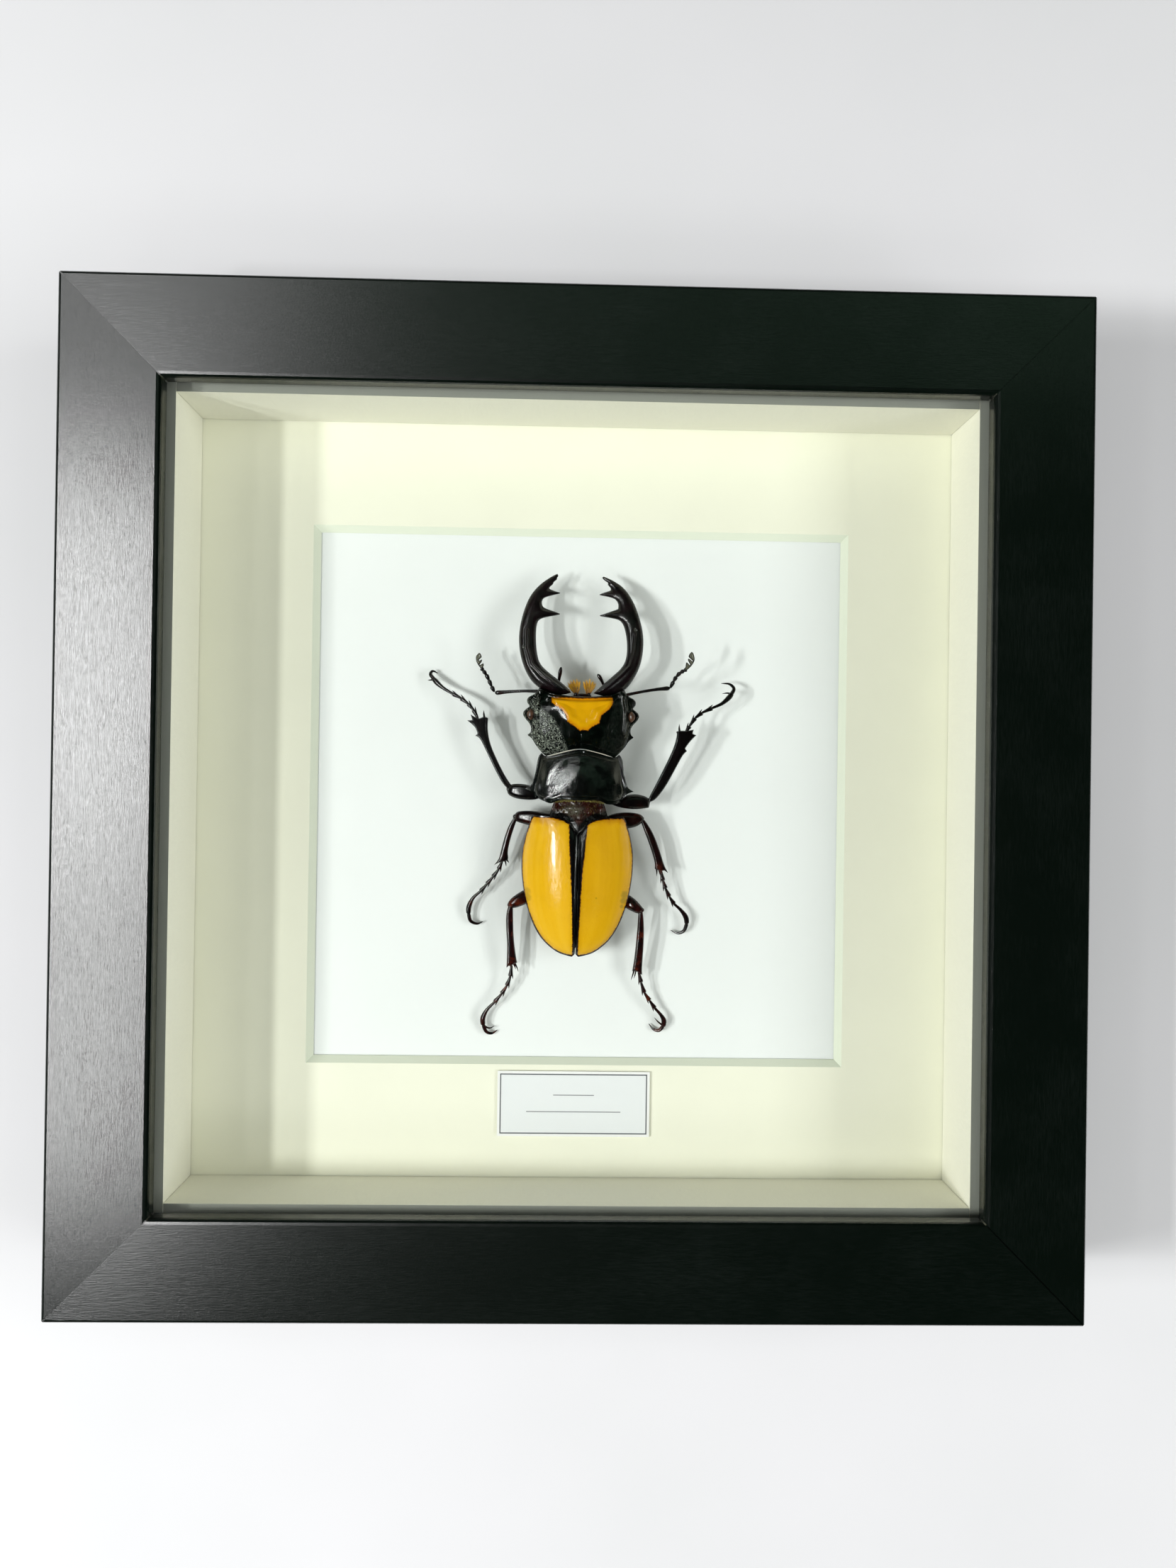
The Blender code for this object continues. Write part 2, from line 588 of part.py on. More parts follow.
LEGS = {
    "front_left": {
        "femur": ((-8.8, 8.2, 5.5), (-11.6, 8.3, 5.4), (-13.6, 8.5, 5.2), (-15.0, 8.7, 5.0)),
        "tibia": (
            (-14.6, 8.2, 5.0),
            (-15.8, 10.8, 5.0),
            (-17.2, 13.6, 4.8),
            (-19.0, 17.3, 4.6),
            (-20.8, 21.8, 4.4),
            (-21.6, 23.6, 4.2),
        ),
        "spurs": (
            ((-21.6, 22.4, 4.2), (-24.1, 23.3, 4.0)),
            ((-21.6, 23.2, 4.2), (-23.3, 24.5, 4.0)),
            ((-20.0, 19.2, 4.4), (-22.2, 20.2, 4.2)),
            ((-18.2, 15.6, 4.6), (-19.6, 16.6, 4.4)),
            ((-20.8, 23.0, 4.2), (-20.5, 25.3, 4.0)),
        ),
        "tarsus": (
            (-21.4, 23.4, 4.2),
            (-22.4, 25.0, 4.0),
            (-23.8, 27.0, 3.7),
            (-25.5, 28.4, 3.4),
            (-27.5, 29.3, 3.0),
            (-32.2, 32.0, 2.0),
        ),
        "claws": (
            ((-32.0, 31.9, 2.0), (-32.7, 33.0, 1.6), (-32.2, 34.0, 1.1), (-31.0, 33.8, 0.6)),
            ((-32.0, 31.9, 2.0), (-33.2, 32.2, 1.4), (-33.6, 33.2, 0.9), (-32.9, 34.0, 0.5)),
        ),
    },
    "front_right": {
        "femur": ((8.9, 6.7, 5.5), (11.8, 6.5, 5.4), (14.0, 6.6, 5.2), (15.6, 6.7, 5.0)),
        "tibia": (
            (15.2, 6.3, 5.0),
            (16.6, 8.8, 5.2),
            (18.3, 11.5, 5.5),
            (20.0, 15.7, 6.0),
            (21.7, 20.0, 6.4),
            (22.7, 21.9, 6.4),
        ),
        "spurs": (
            ((22.5, 20.6, 6.4), (24.9, 21.2, 6.2)),
            ((22.6, 21.4, 6.4), (24.4, 22.3, 6.1)),
            ((20.9, 17.0, 6.2), (23.1, 18.0, 6.1)),
            ((19.6, 13.8, 5.9), (21.3, 14.7, 5.8)),
            ((21.8, 21.3, 6.4), (21.2, 23.3, 6.2)),
        ),
        "tarsus": (
            (22.6, 21.7, 6.3),
            (23.6, 23.3, 6.0),
            (25.1, 25.0, 5.6),
            (26.7, 26.3, 5.2),
            (28.7, 27.3, 4.8),
            (33.1, 29.9, 3.4),
        ),
        "claws": (
            ((33.0, 29.7, 3.4), (33.5, 31.2, 3.0), (32.8, 32.5, 2.4), (31.3, 33.1, 1.6)),
            ((33.0, 29.7, 3.4), (33.2, 30.8, 2.8), (32.4, 31.1, 2.0), (31.3, 30.9, 1.1)),
        ),
    },
    "middle_left": {
        "femur": ((-9.7, 2.7, 3.5), (-11.5, 2.8, 3.6), (-12.7, 2.8, 3.9), (-13.7, 2.8, 4.2)),
        "tibia": (
            (-13.2, 3.0, 4.2),
            (-14.2, -0.6, 4.0),
            (-15.1, -4.0, 3.6),
            (-15.9, -6.6, 3.2),
            (-16.1, -7.6, 3.0),
        ),
        "spurs": (
            ((-15.9, -6.6, 3.1), (-17.6, -7.9, 3.0)),
            ((-15.8, -6.8, 3.1), (-14.8, -8.3, 3.0)),
            ((-15.4, -4.6, 3.4), (-16.6, -5.3, 3.3)),
        ),
        "tarsus": (
            (-16.0, -7.2, 3.0),
            (-16.7, -8.7, 2.8),
            (-17.7, -10.4, 2.5),
            (-18.9, -12.0, 2.2),
            (-20.3, -13.5, 2.0),
            (-23.1, -18.7, 1.2),
        ),
        "claws": (
            ((-23.0, -18.4, 1.2), (-22.8, -19.9, 1.1), (-21.8, -21.1, 0.8), (-20.0, -20.4, 0.5)),
            ((-23.0, -18.4, 1.2), (-23.7, -19.7, 1.0), (-23.6, -20.9, 0.7), (-22.8, -21.8, 0.4)),
        ),
    },
    "middle_right": {
        "femur": ((10.4, 2.6, 3.5), (12.2, 2.8, 3.6), (13.4, 2.9, 3.9), (14.4, 3.1, 4.2)),
        "tibia": (
            (13.9, 3.2, 4.2),
            (15.4, -0.4, 4.1),
            (16.8, -3.8, 3.8),
            (18.1, -7.2, 3.3),
            (18.4, -8.2, 3.2),
        ),
        "spurs": (
            ((18.1, -7.2, 3.2), (20.1, -8.8, 3.1)),
            ((18.1, -7.4, 3.2), (17.4, -9.2, 3.1)),
            ((17.3, -5.0, 3.5), (18.6, -5.8, 3.4)),
        ),
        "tarsus": (
            (18.4, -7.8, 3.2),
            (18.8, -9.9, 3.0),
            (19.5, -12.0, 2.8),
            (20.4, -13.9, 2.5),
            (21.8, -15.5, 2.2),
            (24.3, -20.1, 1.5),
        ),
        "claws": (
            ((24.2, -19.8, 1.5), (24.0, -21.0, 1.3), (22.9, -21.9, 0.9), (21.1, -21.5, 0.5)),
            ((24.2, -19.8, 1.5), (24.9, -20.9, 1.2), (24.9, -22.1, 0.8), (24.0, -22.9, 0.4)),
        ),
    },
    "hind_left": {
        "femur": ((-10.7, -14.3, 3.4), (-11.9, -15.0, 3.5), (-13.0, -15.6, 3.9), (-14.1, -16.2, 4.3)),
        "tibia": (
            (-13.9, -15.8, 4.4),
            (-13.9, -20.5, 3.8),
            (-13.7, -24.8, 3.3),
            (-13.3, -28.8, 2.8),
            (-13.2, -30.2, 2.6),
        ),
        "spurs": (
            ((-13.4, -28.8, 2.7), (-14.6, -30.5, 2.5)),
            ((-13.2, -29.0, 2.7), (-11.9, -30.8, 2.5)),
            ((-13.8, -24.4, 3.2), (-14.9, -25.2, 3.1)),
        ),
        "tarsus": (
            (-13.2, -29.8, 2.6),
            (-13.5, -31.6, 2.4),
            (-14.2, -33.6, 2.2),
            (-15.4, -35.6, 2.0),
            (-17.0, -37.6, 1.8),
            (-19.2, -42.3, 1.2),
        ),
        "claws": (
            ((-19.1, -42.0, 1.2), (-18.9, -43.6, 1.1), (-17.8, -44.7, 0.8), (-16.2, -44.2, 0.4)),
            ((-19.1, -42.0, 1.2), (-18.7, -42.9, 1.3), (-17.8, -43.3, 1.2), (-16.9, -43.0, 0.9)),
        ),
    },
    "hind_right": {
        "femur": ((11.2, -14.8, 3.4), (12.4, -15.5, 3.5), (13.5, -16.2, 3.9), (14.6, -16.9, 4.3)),
        "tibia": (
            (14.4, -16.4, 4.4),
            (14.4, -21.3, 3.9),
            (14.3, -26.0, 3.4),
            (14.1, -29.8, 2.9),
            (14.0, -31.2, 2.7),
        ),
        "spurs": (
            ((13.9, -29.9, 2.8), (12.7, -32.0, 2.6)),
            ((14.2, -29.8, 2.8), (15.2, -31.3, 2.6)),
            ((14.4, -25.4, 3.3), (15.5, -26.2, 3.2)),
        ),
        "tarsus": (
            (14.1, -30.8, 2.8),
            (14.6, -32.8, 2.6),
            (15.5, -34.9, 2.3),
            (16.6, -36.7, 2.0),
            (18.0, -38.5, 1.8),
            (20.0, -42.2, 1.2),
        ),
        "claws": (
            ((20.0, -41.9, 1.2), (19.6, -43.0, 1.1), (18.4, -43.3, 0.8), (17.0, -42.3, 0.4)),
            ((20.0, -41.9, 1.2), (19.4, -41.7, 1.5), (18.6, -41.1, 1.6), (18.1, -40.4, 1.5)),
        ),
    },
}


def leg_shells(name):
    """One leg: femur, tibia with its spurs, beaded tarsus and two claws."""
    parts = LEGS[name]
    tibia_widths = FORE_TIBIA_WIDTHS if name.startswith("front") else REAR_TIBIA_WIDTHS
    slim = 0.8 if name.startswith("middle") else 0.9
    femur_widths = [(w * slim, min(h * slim, 1.2)) for w, h in FEMUR_WIDTHS]
    shells = [limb_shell(parts["femur"], femur_widths, 8)]
    shells.append(limb_shell(parts["tibia"], tibia_widths, 8))
    shells.append(limb_shell(*beaded(parts["tarsus"], 0.28, 0.5), 6))
    for root, tip in parts["spurs"]:
        shells.append(limb_shell((root, tip), (0.45, 0.07), 5))
    for claw in parts["claws"]:
        shells.append(limb_shell(claw, (0.3, 0.26, 0.2, 0.07), 5))
    return shells


# Feelers and mouth parts

ANTENNAE = {
    "left": {
        "shaft": ((-9.8, 29.8, 7.0), (-12.2, 29.6, 7.0), (-15.3, 29.3, 6.6), (-18.2, 28.9, 6.2)),
        "beads": (
            (-18.1, 28.8, 6.0),
            (-18.9, 30.2, 6.0),
            (-19.6, 31.6, 6.0),
            (-20.4, 33.0, 6.0),
            (-21.3, 34.3, 6.0),
            (-22.0, 35.6, 5.8),
            (-21.9, 37.4, 5.5),
        ),
        "leaves": (
            ((-21.2, 34.2, 6.0), (-20.5, 35.2, 6.0)),
            ((-21.8, 35.2, 5.9), (-20.8, 36.2, 5.9)),
            ((-21.9, 36.2, 5.7), (-21.1, 37.0, 5.7)),
        ),
    },
    "right": {
        "shaft": ((10.7, 29.6, 7.0), (13.8, 30.1, 7.0), (17.0, 30.6, 6.7), (19.0, 30.7, 6.5)),
        "beads": (
            (18.9, 30.6, 6.5),
            (19.5, 31.9, 7.0),
            (20.2, 33.2, 7.6),
            (21.3, 34.3, 8.4),
            (22.4, 35.1, 9.0),
            (23.7, 36.3, 9.3),
            (23.4, 38.6, 9.5),
        ),
        "leaves": (
            ((22.6, 35.2, 9.0), (22.1, 36.2, 9.1)),
            ((23.5, 36.1, 9.2), (22.5, 37.1, 9.3)),
            ((23.8, 37.2, 9.3), (22.8, 38.1, 9.4)),
        ),
    },
}


def antenna_shells(side):
    """A long first joint, a beaded shaft bent back from it, and the leaves of the club."""
    parts = ANTENNAE[side]
    shells = [limb_shell(parts["shaft"], (0.42, 0.26, 0.3, 0.45), 6)]
    shells.append(limb_shell(*beaded(parts["beads"], 0.18, 0.3), 6))
    for root, tip in parts["leaves"]:
        shells.append(limb_shell((root, tip), ((0.35, 0.2), (0.16, 0.1)), 5))
    return shells


PALPS = {
    "left": ((-4.5, 30.9, 3.6), (-4.6, 32.2, 4.8), (-4.4, 33.8, 5.7), (-4.2, 35.1, 5.8)),
    "right": ((5.2, 30.6, 3.4), (4.9, 31.8, 4.6), (4.2, 33.0, 5.6), (3.6, 33.8, 5.8)),
}
TUFTS = {
    "left": ((-0.7, 29.6), ((-2.7, 31.9), (-1.6, 32.5), (-0.5, 31.7))),
    "right": ((1.5, 29.6), ((0.8, 31.9), (1.8, 32.6), (2.9, 31.8))),
}


def tuft_shells(side):
    """A tuft of the mouth brush: three locks from one root."""
    root, tips = TUFTS[side]
    shells = []
    for number, tip in enumerate(tips):
        start = Vector((root[0] + (number - 1) * 0.35, root[1], 5.4))
        middle = Vector((*((Vector(root) + Vector(tip)) / 2), 5.6))
        path = (start, middle, Vector((*tip, 5.2)))
        shells.append(limb_shell(path, ((0.7, 0.7), (0.6, 0.6), (0.15, 0.15)), 6))
    return shells


def eye_shell(side):
    """An eye: a short oval body against the side of the head."""
    levels = ((-1.0, 0.35), (-0.6, 0.8), (0.0, 1.0), (0.6, 0.8), (1.0, 0.35))
    stations = []
    for along, size in levels:
        centre = Vector((BODY_AXIS + side * 11.85, 24.7 + 1.1 * along, 6.9))
        stations.append((centre, Vector((0.5 * size, 0, 0)), Vector((0, 0, 1.2 * size))))
    return sweep_shell(stations, 10)


def add_beetle():
    """The beetle, laid on its board and leaning a little to the right."""
    place = Matrix.Translation(Vector((*BODY_PLACE, BOARD_TOP))) @ Matrix.Rotation(BODY_LEAN, 4, "Z")
    black = finish("black_shell", (0.02, 0.018, 0.016), 0.35)
    jaw = finish("jaw_shell", (0.025, 0.016, 0.014), 0.3)
    dark = finish("dark_shell", (0.05, 0.035, 0.025), 0.5)
    amber = finish("amber_wing_case", (0.85, 0.45, 0.02), 0.2)
    brown = finish("red_brown_leg", (0.06, 0.018, 0.01), 0.25)
    eye = finish("brown_eye", (0.12, 0.07, 0.04), 0.3)
    hair = finish("golden_hair", (0.6, 0.28, 0.05), 0.6)
    add_piece("head", head_shell(), black, place, 50)
    add_piece("pronotum", pronotum_shell(), black, place, 50)
    add_piece("mesothorax", mesothorax_shell(), dark, place, 50)
    add_piece("abdomen", abdomen_shell(), dark, place, 50)
    for side, name in ((-1, "left"), (1, "right")):
        add_piece(f"elytron_{name}", wing_shell(side), amber, place, 60)
        add_piece(f"eye_{name}", eye_shell(side), eye, place, 60)
        add_joined(f"mandible_{name}", jaw_shells(side), jaw, place)
        add_joined(f"antenna_{name}", antenna_shells(name), brown, place)
        add_piece(f"palp_{name}", limb_shell(PALPS[name], (0.3, 0.4, 0.4, 0.15), 6), brown, place, 60)
        add_joined(f"mouth_brush_{name}", tuft_shells(name), hair, place)
    for name in LEGS:
        add_joined(f"leg_{name}", leg_shells(name), brown, place)


def clear_scene():
    """Removes what the file opened with."""
    for thing in list(bpy.data.objects):
        bpy.data.objects.remove(thing)


def main():
    clear_scene()
    add_frame()
    add_beetle()


main()
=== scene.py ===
"""Looks of the framed stag beetle: the box frame's finishes and the finely modelled insect.

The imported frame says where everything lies, in metres. The insect's own points are millimetres
on the board that it lies on: x to the right, y from tail to jaws and z up from the board.
"""

import logging
import math
from dataclasses import dataclass
from enum import Enum
from functools import partial
from typing import Callable, Sequence

import bpy
import numpy as np
from mathutils import Matrix, Vector, noise


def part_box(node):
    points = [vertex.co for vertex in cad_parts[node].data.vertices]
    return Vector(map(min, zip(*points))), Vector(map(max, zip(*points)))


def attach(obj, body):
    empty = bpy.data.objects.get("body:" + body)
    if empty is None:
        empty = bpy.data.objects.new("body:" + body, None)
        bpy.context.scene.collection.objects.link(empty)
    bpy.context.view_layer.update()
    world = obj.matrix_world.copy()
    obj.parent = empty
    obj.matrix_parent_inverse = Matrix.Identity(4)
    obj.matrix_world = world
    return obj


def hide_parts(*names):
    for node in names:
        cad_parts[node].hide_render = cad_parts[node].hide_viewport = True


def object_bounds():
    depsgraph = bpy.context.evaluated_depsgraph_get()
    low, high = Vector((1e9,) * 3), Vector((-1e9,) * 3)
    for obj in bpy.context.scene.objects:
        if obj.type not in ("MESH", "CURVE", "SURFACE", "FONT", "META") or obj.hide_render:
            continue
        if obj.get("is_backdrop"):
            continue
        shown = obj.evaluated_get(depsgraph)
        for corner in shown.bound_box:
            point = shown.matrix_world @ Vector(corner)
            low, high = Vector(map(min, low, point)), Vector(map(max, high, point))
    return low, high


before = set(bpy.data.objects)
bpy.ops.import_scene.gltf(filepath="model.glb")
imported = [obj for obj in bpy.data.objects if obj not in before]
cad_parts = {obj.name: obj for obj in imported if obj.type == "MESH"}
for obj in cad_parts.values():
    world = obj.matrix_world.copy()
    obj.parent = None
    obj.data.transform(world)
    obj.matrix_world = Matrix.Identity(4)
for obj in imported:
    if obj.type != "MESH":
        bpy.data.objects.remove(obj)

# Short names for types: a triple is x, y and z, and a colour is linear red, green and blue
Array = np.ndarray
Piece = bpy.types.Object
Material = bpy.types.Material
Socket = bpy.types.NodeSocket
Shape = Callable[[Array, Array], Array]
Colour = tuple[float, float, float]
Pair = tuple[float, float]
Triple = tuple[float, float, float]
Pairs = tuple[Pair, ...]
Triples = tuple[Triple, ...]
Fours = tuple[tuple[float, float, float, float], ...]

MM = 0.001
AXIS = 0.3  # where the insect's middle lies across its board
SIDES = ((-1, "left"), (1, "right"))  # which way each side lies from the middle
BODY = "root"
log = logging.getLogger("framed_stag_beetle")


# Sums on rows of numbers


def through(table: Sequence, at: Array) -> Array:
    """A smooth curve through evenly counted rows.

    Args:
        table: One row of numbers for each station, or one number for each.
        at: Where to read the curve, from 0 at the first row to 1 at the last.

    Returns:
        One row for each place, or one number for each.
    """
    rows = np.asarray(table, float)
    single = rows.ndim == 1
    rows = rows[:, None] if single else rows
    rows = np.vstack([2 * rows[0] - rows[1], rows, 2 * rows[-1] - rows[-2]])
    spans = len(rows) - 3
    place = np.clip(at, 0, 1) * spans
    start = np.minimum(place.astype(int), spans - 1)
    f = (place - start)[:, None]
    a, b, c, d = rows[start], rows[start + 1], rows[start + 2], rows[start + 3]
    found = b + 0.5 * f * (c - a + f * (2 * a - 5 * b + 4 * c - d + f * (3 * (b - c) + d - a)))
    return found[:, 0] if single else found


def curve_at(table: Sequence, at: Array) -> Array:
    """A smooth curve through rows that each begin with their own place.

    Args:
        table: Rows of a place and its numbers, with the places rising.
        at: Where to read the curve, which is held at its ends.

    Returns:
        One row for each place, or one number for each where a row has only one.
    """
    rows = np.asarray(table, float)
    places, values = rows[:, 0], rows[:, 1:]
    slopes = np.gradient(values, places, axis=0)
    at = np.clip(at, places[0], places[-1])
    start = np.clip(np.searchsorted(places, at) - 1, 0, len(places) - 2)
    step = (places[start + 1] - places[start])[:, None]
    t = (at - places[start])[:, None] / step
    found = values[start] * (1 + 2 * t) * (1 - t) ** 2 + slopes[start] * step * t * (1 - t) ** 2
    found += values[start + 1] * t * t * (3 - 2 * t) + slopes[start + 1] * step * t * t * (t - 1)
    return found[:, 0] if values.shape[1] == 1 else found


def hill(distance: Array, middle: float, width: float) -> Array:
    """A smooth hill of height 1 round a middle, as wide as its standard deviation."""
    return np.exp(-(((distance - middle) / width) ** 2) / 2)


def mound(x: Array, y: Array, wide: float, long: float) -> Array:
    """A smooth mound of height 1 at the origin, with the square of its reach along x and y."""
    return np.exp(-(x**2 / wide + y**2 / long))


def rise(value: Array, low: float, high: float) -> Array:
    """Smoothly from 0 at low to 1 at high."""
    t = np.clip((value - low) / (high - low), 0, 1)
    return t * t * (3 - 2 * t)


def rough(points: Array, scale: float, seed: float = 0.0) -> Array:
    """Smooth noise from about -1 to 1.

    Args:
        points: Places in millimetres.
        scale: Swings in each millimetre.
        seed: Moves the pattern, so that two uses differ.

    Returns:
        One value for each place.
    """
    moved = points * scale + seed
    return np.array([noise.noise(Vector(p)) for p in moved.tolist()])


def unit(vectors: Array) -> Array:
    """Vectors of length 1 in the same directions."""
    return vectors / np.maximum(np.linalg.norm(vectors, axis=-1, keepdims=True), 1e-9)


def from_outline(points: Array, outline: Sequence[Pair]) -> Array:
    """How far places lie outside a closed outline, with values under 0 inside it.

    Args:
        points: Places, of which x and y count.
        outline: The corners of the outline in order.

    Returns:
        One distance in millimetres for each place.
    """
    corners = np.asarray(outline, float)
    nearest = np.full(len(points), np.inf)
    inside = np.zeros(len(points), bool)
    x, y = points[:, 0], points[:, 1]
    for (ax, ay), (bx, by) in zip(corners, np.roll(corners, -1, axis=0)):
        square = max((bx - ax) ** 2 + (by - ay) ** 2, 1e-12)
        along = np.clip(((x - ax) * (bx - ax) + (y - ay) * (by - ay)) / square, 0, 1)
        nearest = np.minimum(nearest, np.hypot(x - ax - along * (bx - ax), y - ay - along * (by - ay)))
        if ay != by:
            inside ^= ((ay > y) != (by > y)) & (x < ax + (bx - ax) * (y - ay) / (by - ay))
    return np.where(inside, -nearest, nearest)


# Modelling


@dataclass(frozen=True)
class BoardPlace:
    """Where the insect lies on its board.

    Attributes:
        shift: Its middle from the frame's middle, in millimetres.
        lean: How far it is turned, in degrees.
    """

    shift: Pair = (0.5, -6.3)
    lean: float = -0.6

    def matrix(self) -> Array:
        """The insect's millimetres to the frame's metres, as four rows."""
        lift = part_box("specimen_board")[1].z
        turn = Matrix.Rotation(math.radians(self.lean), 4, "Z")
        move = Matrix.Translation((self.shift[0] * MM, self.shift[1] * MM, lift))
        return np.array(move @ turn @ Matrix.Scale(MM, 4))

    def to_frame(self, points: Array) -> Array:
        """Places in the frame's metres."""
        m = self.matrix()
        return points @ m[:3, :3].T + m[:3, 3]

    def to_board(self, points: Array) -> Array:
        """Places in the insect's millimetres."""
        m = np.linalg.inv(self.matrix())
        return points @ m[:3, :3].T + m[:3, 3]


PLACE = BoardPlace()


def let_go() -> None:
    """Goes back to object mode with nothing selected."""
    if bpy.context.object and bpy.context.object.mode != "OBJECT":
        bpy.ops.object.mode_set(mode="OBJECT")
    bpy.ops.object.select_all(action="DESELECT")


def take(piece: Piece) -> None:
    """Selects one piece alone and makes it the active one."""
    let_go()
    piece.select_set(True)
    bpy.context.view_layer.objects.active = piece


def named(name: str) -> Piece:
    """The object that an operator has just added, under its own name."""
    piece = bpy.context.object
    piece.name = name
    piece.data.name = name
    return piece


def raw_points(piece: Piece) -> Array:
    """A piece's points as its mesh holds them, one row for each."""
    found = np.empty(len(piece.data.vertices) * 3)
    piece.data.vertices.foreach_get("co", found)
    return found.reshape(-1, 3)


def points_of(piece: Piece) -> Array:
    """A piece's points in the insect's millimetres."""
    return PLACE.to_board(raw_points(piece))


def put_points(piece: Piece, points: Array) -> None:
    """Moves a piece's points to places in the insect's millimetres."""
    piece.data.vertices.foreach_set("co", PLACE.to_frame(points).ravel())
    piece.data.update()


def sheet(name: str, columns: int, rows: int, shape: Shape) -> Piece:
    """A grid with its points moved to where a shape puts them.

    Args:
        name: The piece's name.
        columns: Faces across.
        rows: Faces along.
        shape: Takes u and v, each from -1 to 1, and gives places in the insect's millimetres.

    Returns:
        The piece, with the grid's own UV map.
    """
    let_go()
    bpy.ops.mesh.primitive_grid_add(x_subdivisions=columns, y_subdivisions=rows, size=2.0)
    piece = named(name)
    flat = raw_points(piece)
    put_points(piece, shape(flat[:, 0], flat[:, 1]))
    return piece


def edit(piece: Piece, *steps: Callable[[], object]) -> Piece:
    """Takes a piece through edit mode.

    Args:
        piece: The piece.
        steps: What is done there in turn, each time with all of the piece selected.

    Returns:
        The piece.
    """
    take(piece)
    bpy.ops.object.mode_set(mode="EDIT")
    for step in steps:
        bpy.ops.mesh.select_all(action="SELECT")
        step()
    bpy.ops.object.mode_set(mode="OBJECT")
    return piece


def turn_outwards() -> None:
    """Makes the selected faces point outwards."""
    bpy.ops.mesh.normals_make_consistent(inside=False)


def weld(piece: Piece, within: float = 0.002) -> Piece:
    """Merges points that meet, and turns the faces outwards.

    Args:
        piece: A closed shell, or several that pass through each other.
        within: How near merged points lie, in millimetres.

    Returns:
        The piece.
    """
    return edit(piece, partial(bpy.ops.mesh.remove_doubles, threshold=within * MM), turn_outwards)


def join(name: str, pieces: Sequence[Piece]) -> Piece:
    """One piece from several.

    Args:
        name: The joined piece's name.
        pieces: What goes into it.

    Returns:
        The joined piece.
    """
    let_go()
    for piece in pieces:
        piece.select_set(True)
    bpy.context.view_layer.objects.active = pieces[0]
    if len(pieces) > 1:
        bpy.ops.object.join()
    return named(name)


def modify(piece: Piece, kind: str, **settings: object) -> None:
    """Adds a modifier and applies it.

    Args:
        piece: The piece.
        kind: The modifier's type.
        settings: Its settings.
    """
    take(piece)
    bpy.ops.object.modifier_add(type=kind)
    modifier = piece.modifiers[-1]
    for setting, value in settings.items():
        setattr(modifier, setting, value)
    bpy.ops.object.modifier_apply(modifier=modifier.name)


def smooth(piece: Piece, angle: float = 60.0) -> Piece:
    """Shades a piece smooth up to an angle in degrees."""
    take(piece)
    bpy.ops.object.shade_smooth_by_angle(angle=math.radians(angle))
    return piece


def shell(name: str, columns: int, rows: int, top: Shape, under: Shape) -> Piece:
    """A closed shell from two sheets that meet all round.

    Args:
        name: The piece's name.
        columns: Faces across each sheet.
        rows: Faces along it.
        top: The upper surface.
        under: The lower surface.

    Returns:
        The piece, shaded smooth.
    """
    upper = sheet(name, columns, rows, top)
    lower = sheet(f"{name}_under", columns, rows, under)
    return smooth(weld(join(name, (upper, lower))), 70)


def pinched(u: Array, v: Array, power: float) -> Array:
    """From 1 in the middle of a sheet to 0 all along its edge."""
    return np.sqrt(np.clip(1 - np.abs(u) ** power, 0, 1) * np.clip(1 - np.abs(v) ** power, 0, 1))


def mark(piece: Piece, name: str, values: Array) -> None:
    """Writes one number on each of a piece's points, for its material to read."""
    layer = piece.data.attributes.new(name, "FLOAT", "POINT")
    layer.data.foreach_set("value", values.astype(np.float32))


def depth_of(piece: Piece) -> Array:
    """How far inside its outline each point of a rounded body lies."""
    found = np.empty(len(piece.data.vertices))
    piece.data.attributes["depth"].data.foreach_get("value", found)
    return found


def hand_over(piece: Piece, finish: Material, slot: str, *nodes: str) -> None:
    """Gives a finished piece its material and its place in the frame.

    Args:
        piece: The piece.
        finish: Its material.
        slot: The record's slot that the finish belongs to; not used.
        nodes: The solids that the piece stands for.
    """
    piece.data.materials.clear()
    piece.data.materials.append(finish)
    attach(piece, BODY)
    if nodes:
        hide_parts(*nodes)
    log.info("%s: %d faces", piece.name, len(piece.data.polygons))


def ring_places(path: Array, wide: Array, high: Array, angle: Array) -> Array:
    """Places on oval rings that stand square to a path.

    Args:
        path: The middle of the ring for each place.
        wide: The half width for each place.
        high: The half height for each place.
        angle: Where on its ring each place is, in radians.

    Returns:
        One place for each.
    """
    order = np.unique(path, axis=0, return_index=True)[1]
    stations = path[np.sort(order)]
    ahead = np.gradient(stations, axis=0)
    keys = {tuple(p): t for p, t in zip(stations.round(9).tolist(), ahead)}
    along = unit(np.array([keys[tuple(p)] for p in path.round(9).tolist()]))
    across = unit(np.cross([0.0, 0.0, 1.0], along))
    up = np.cross(along, across)
    return path + across * (wide * np.cos(angle))[:, None] + up * (high * np.sin(angle))[:, None]


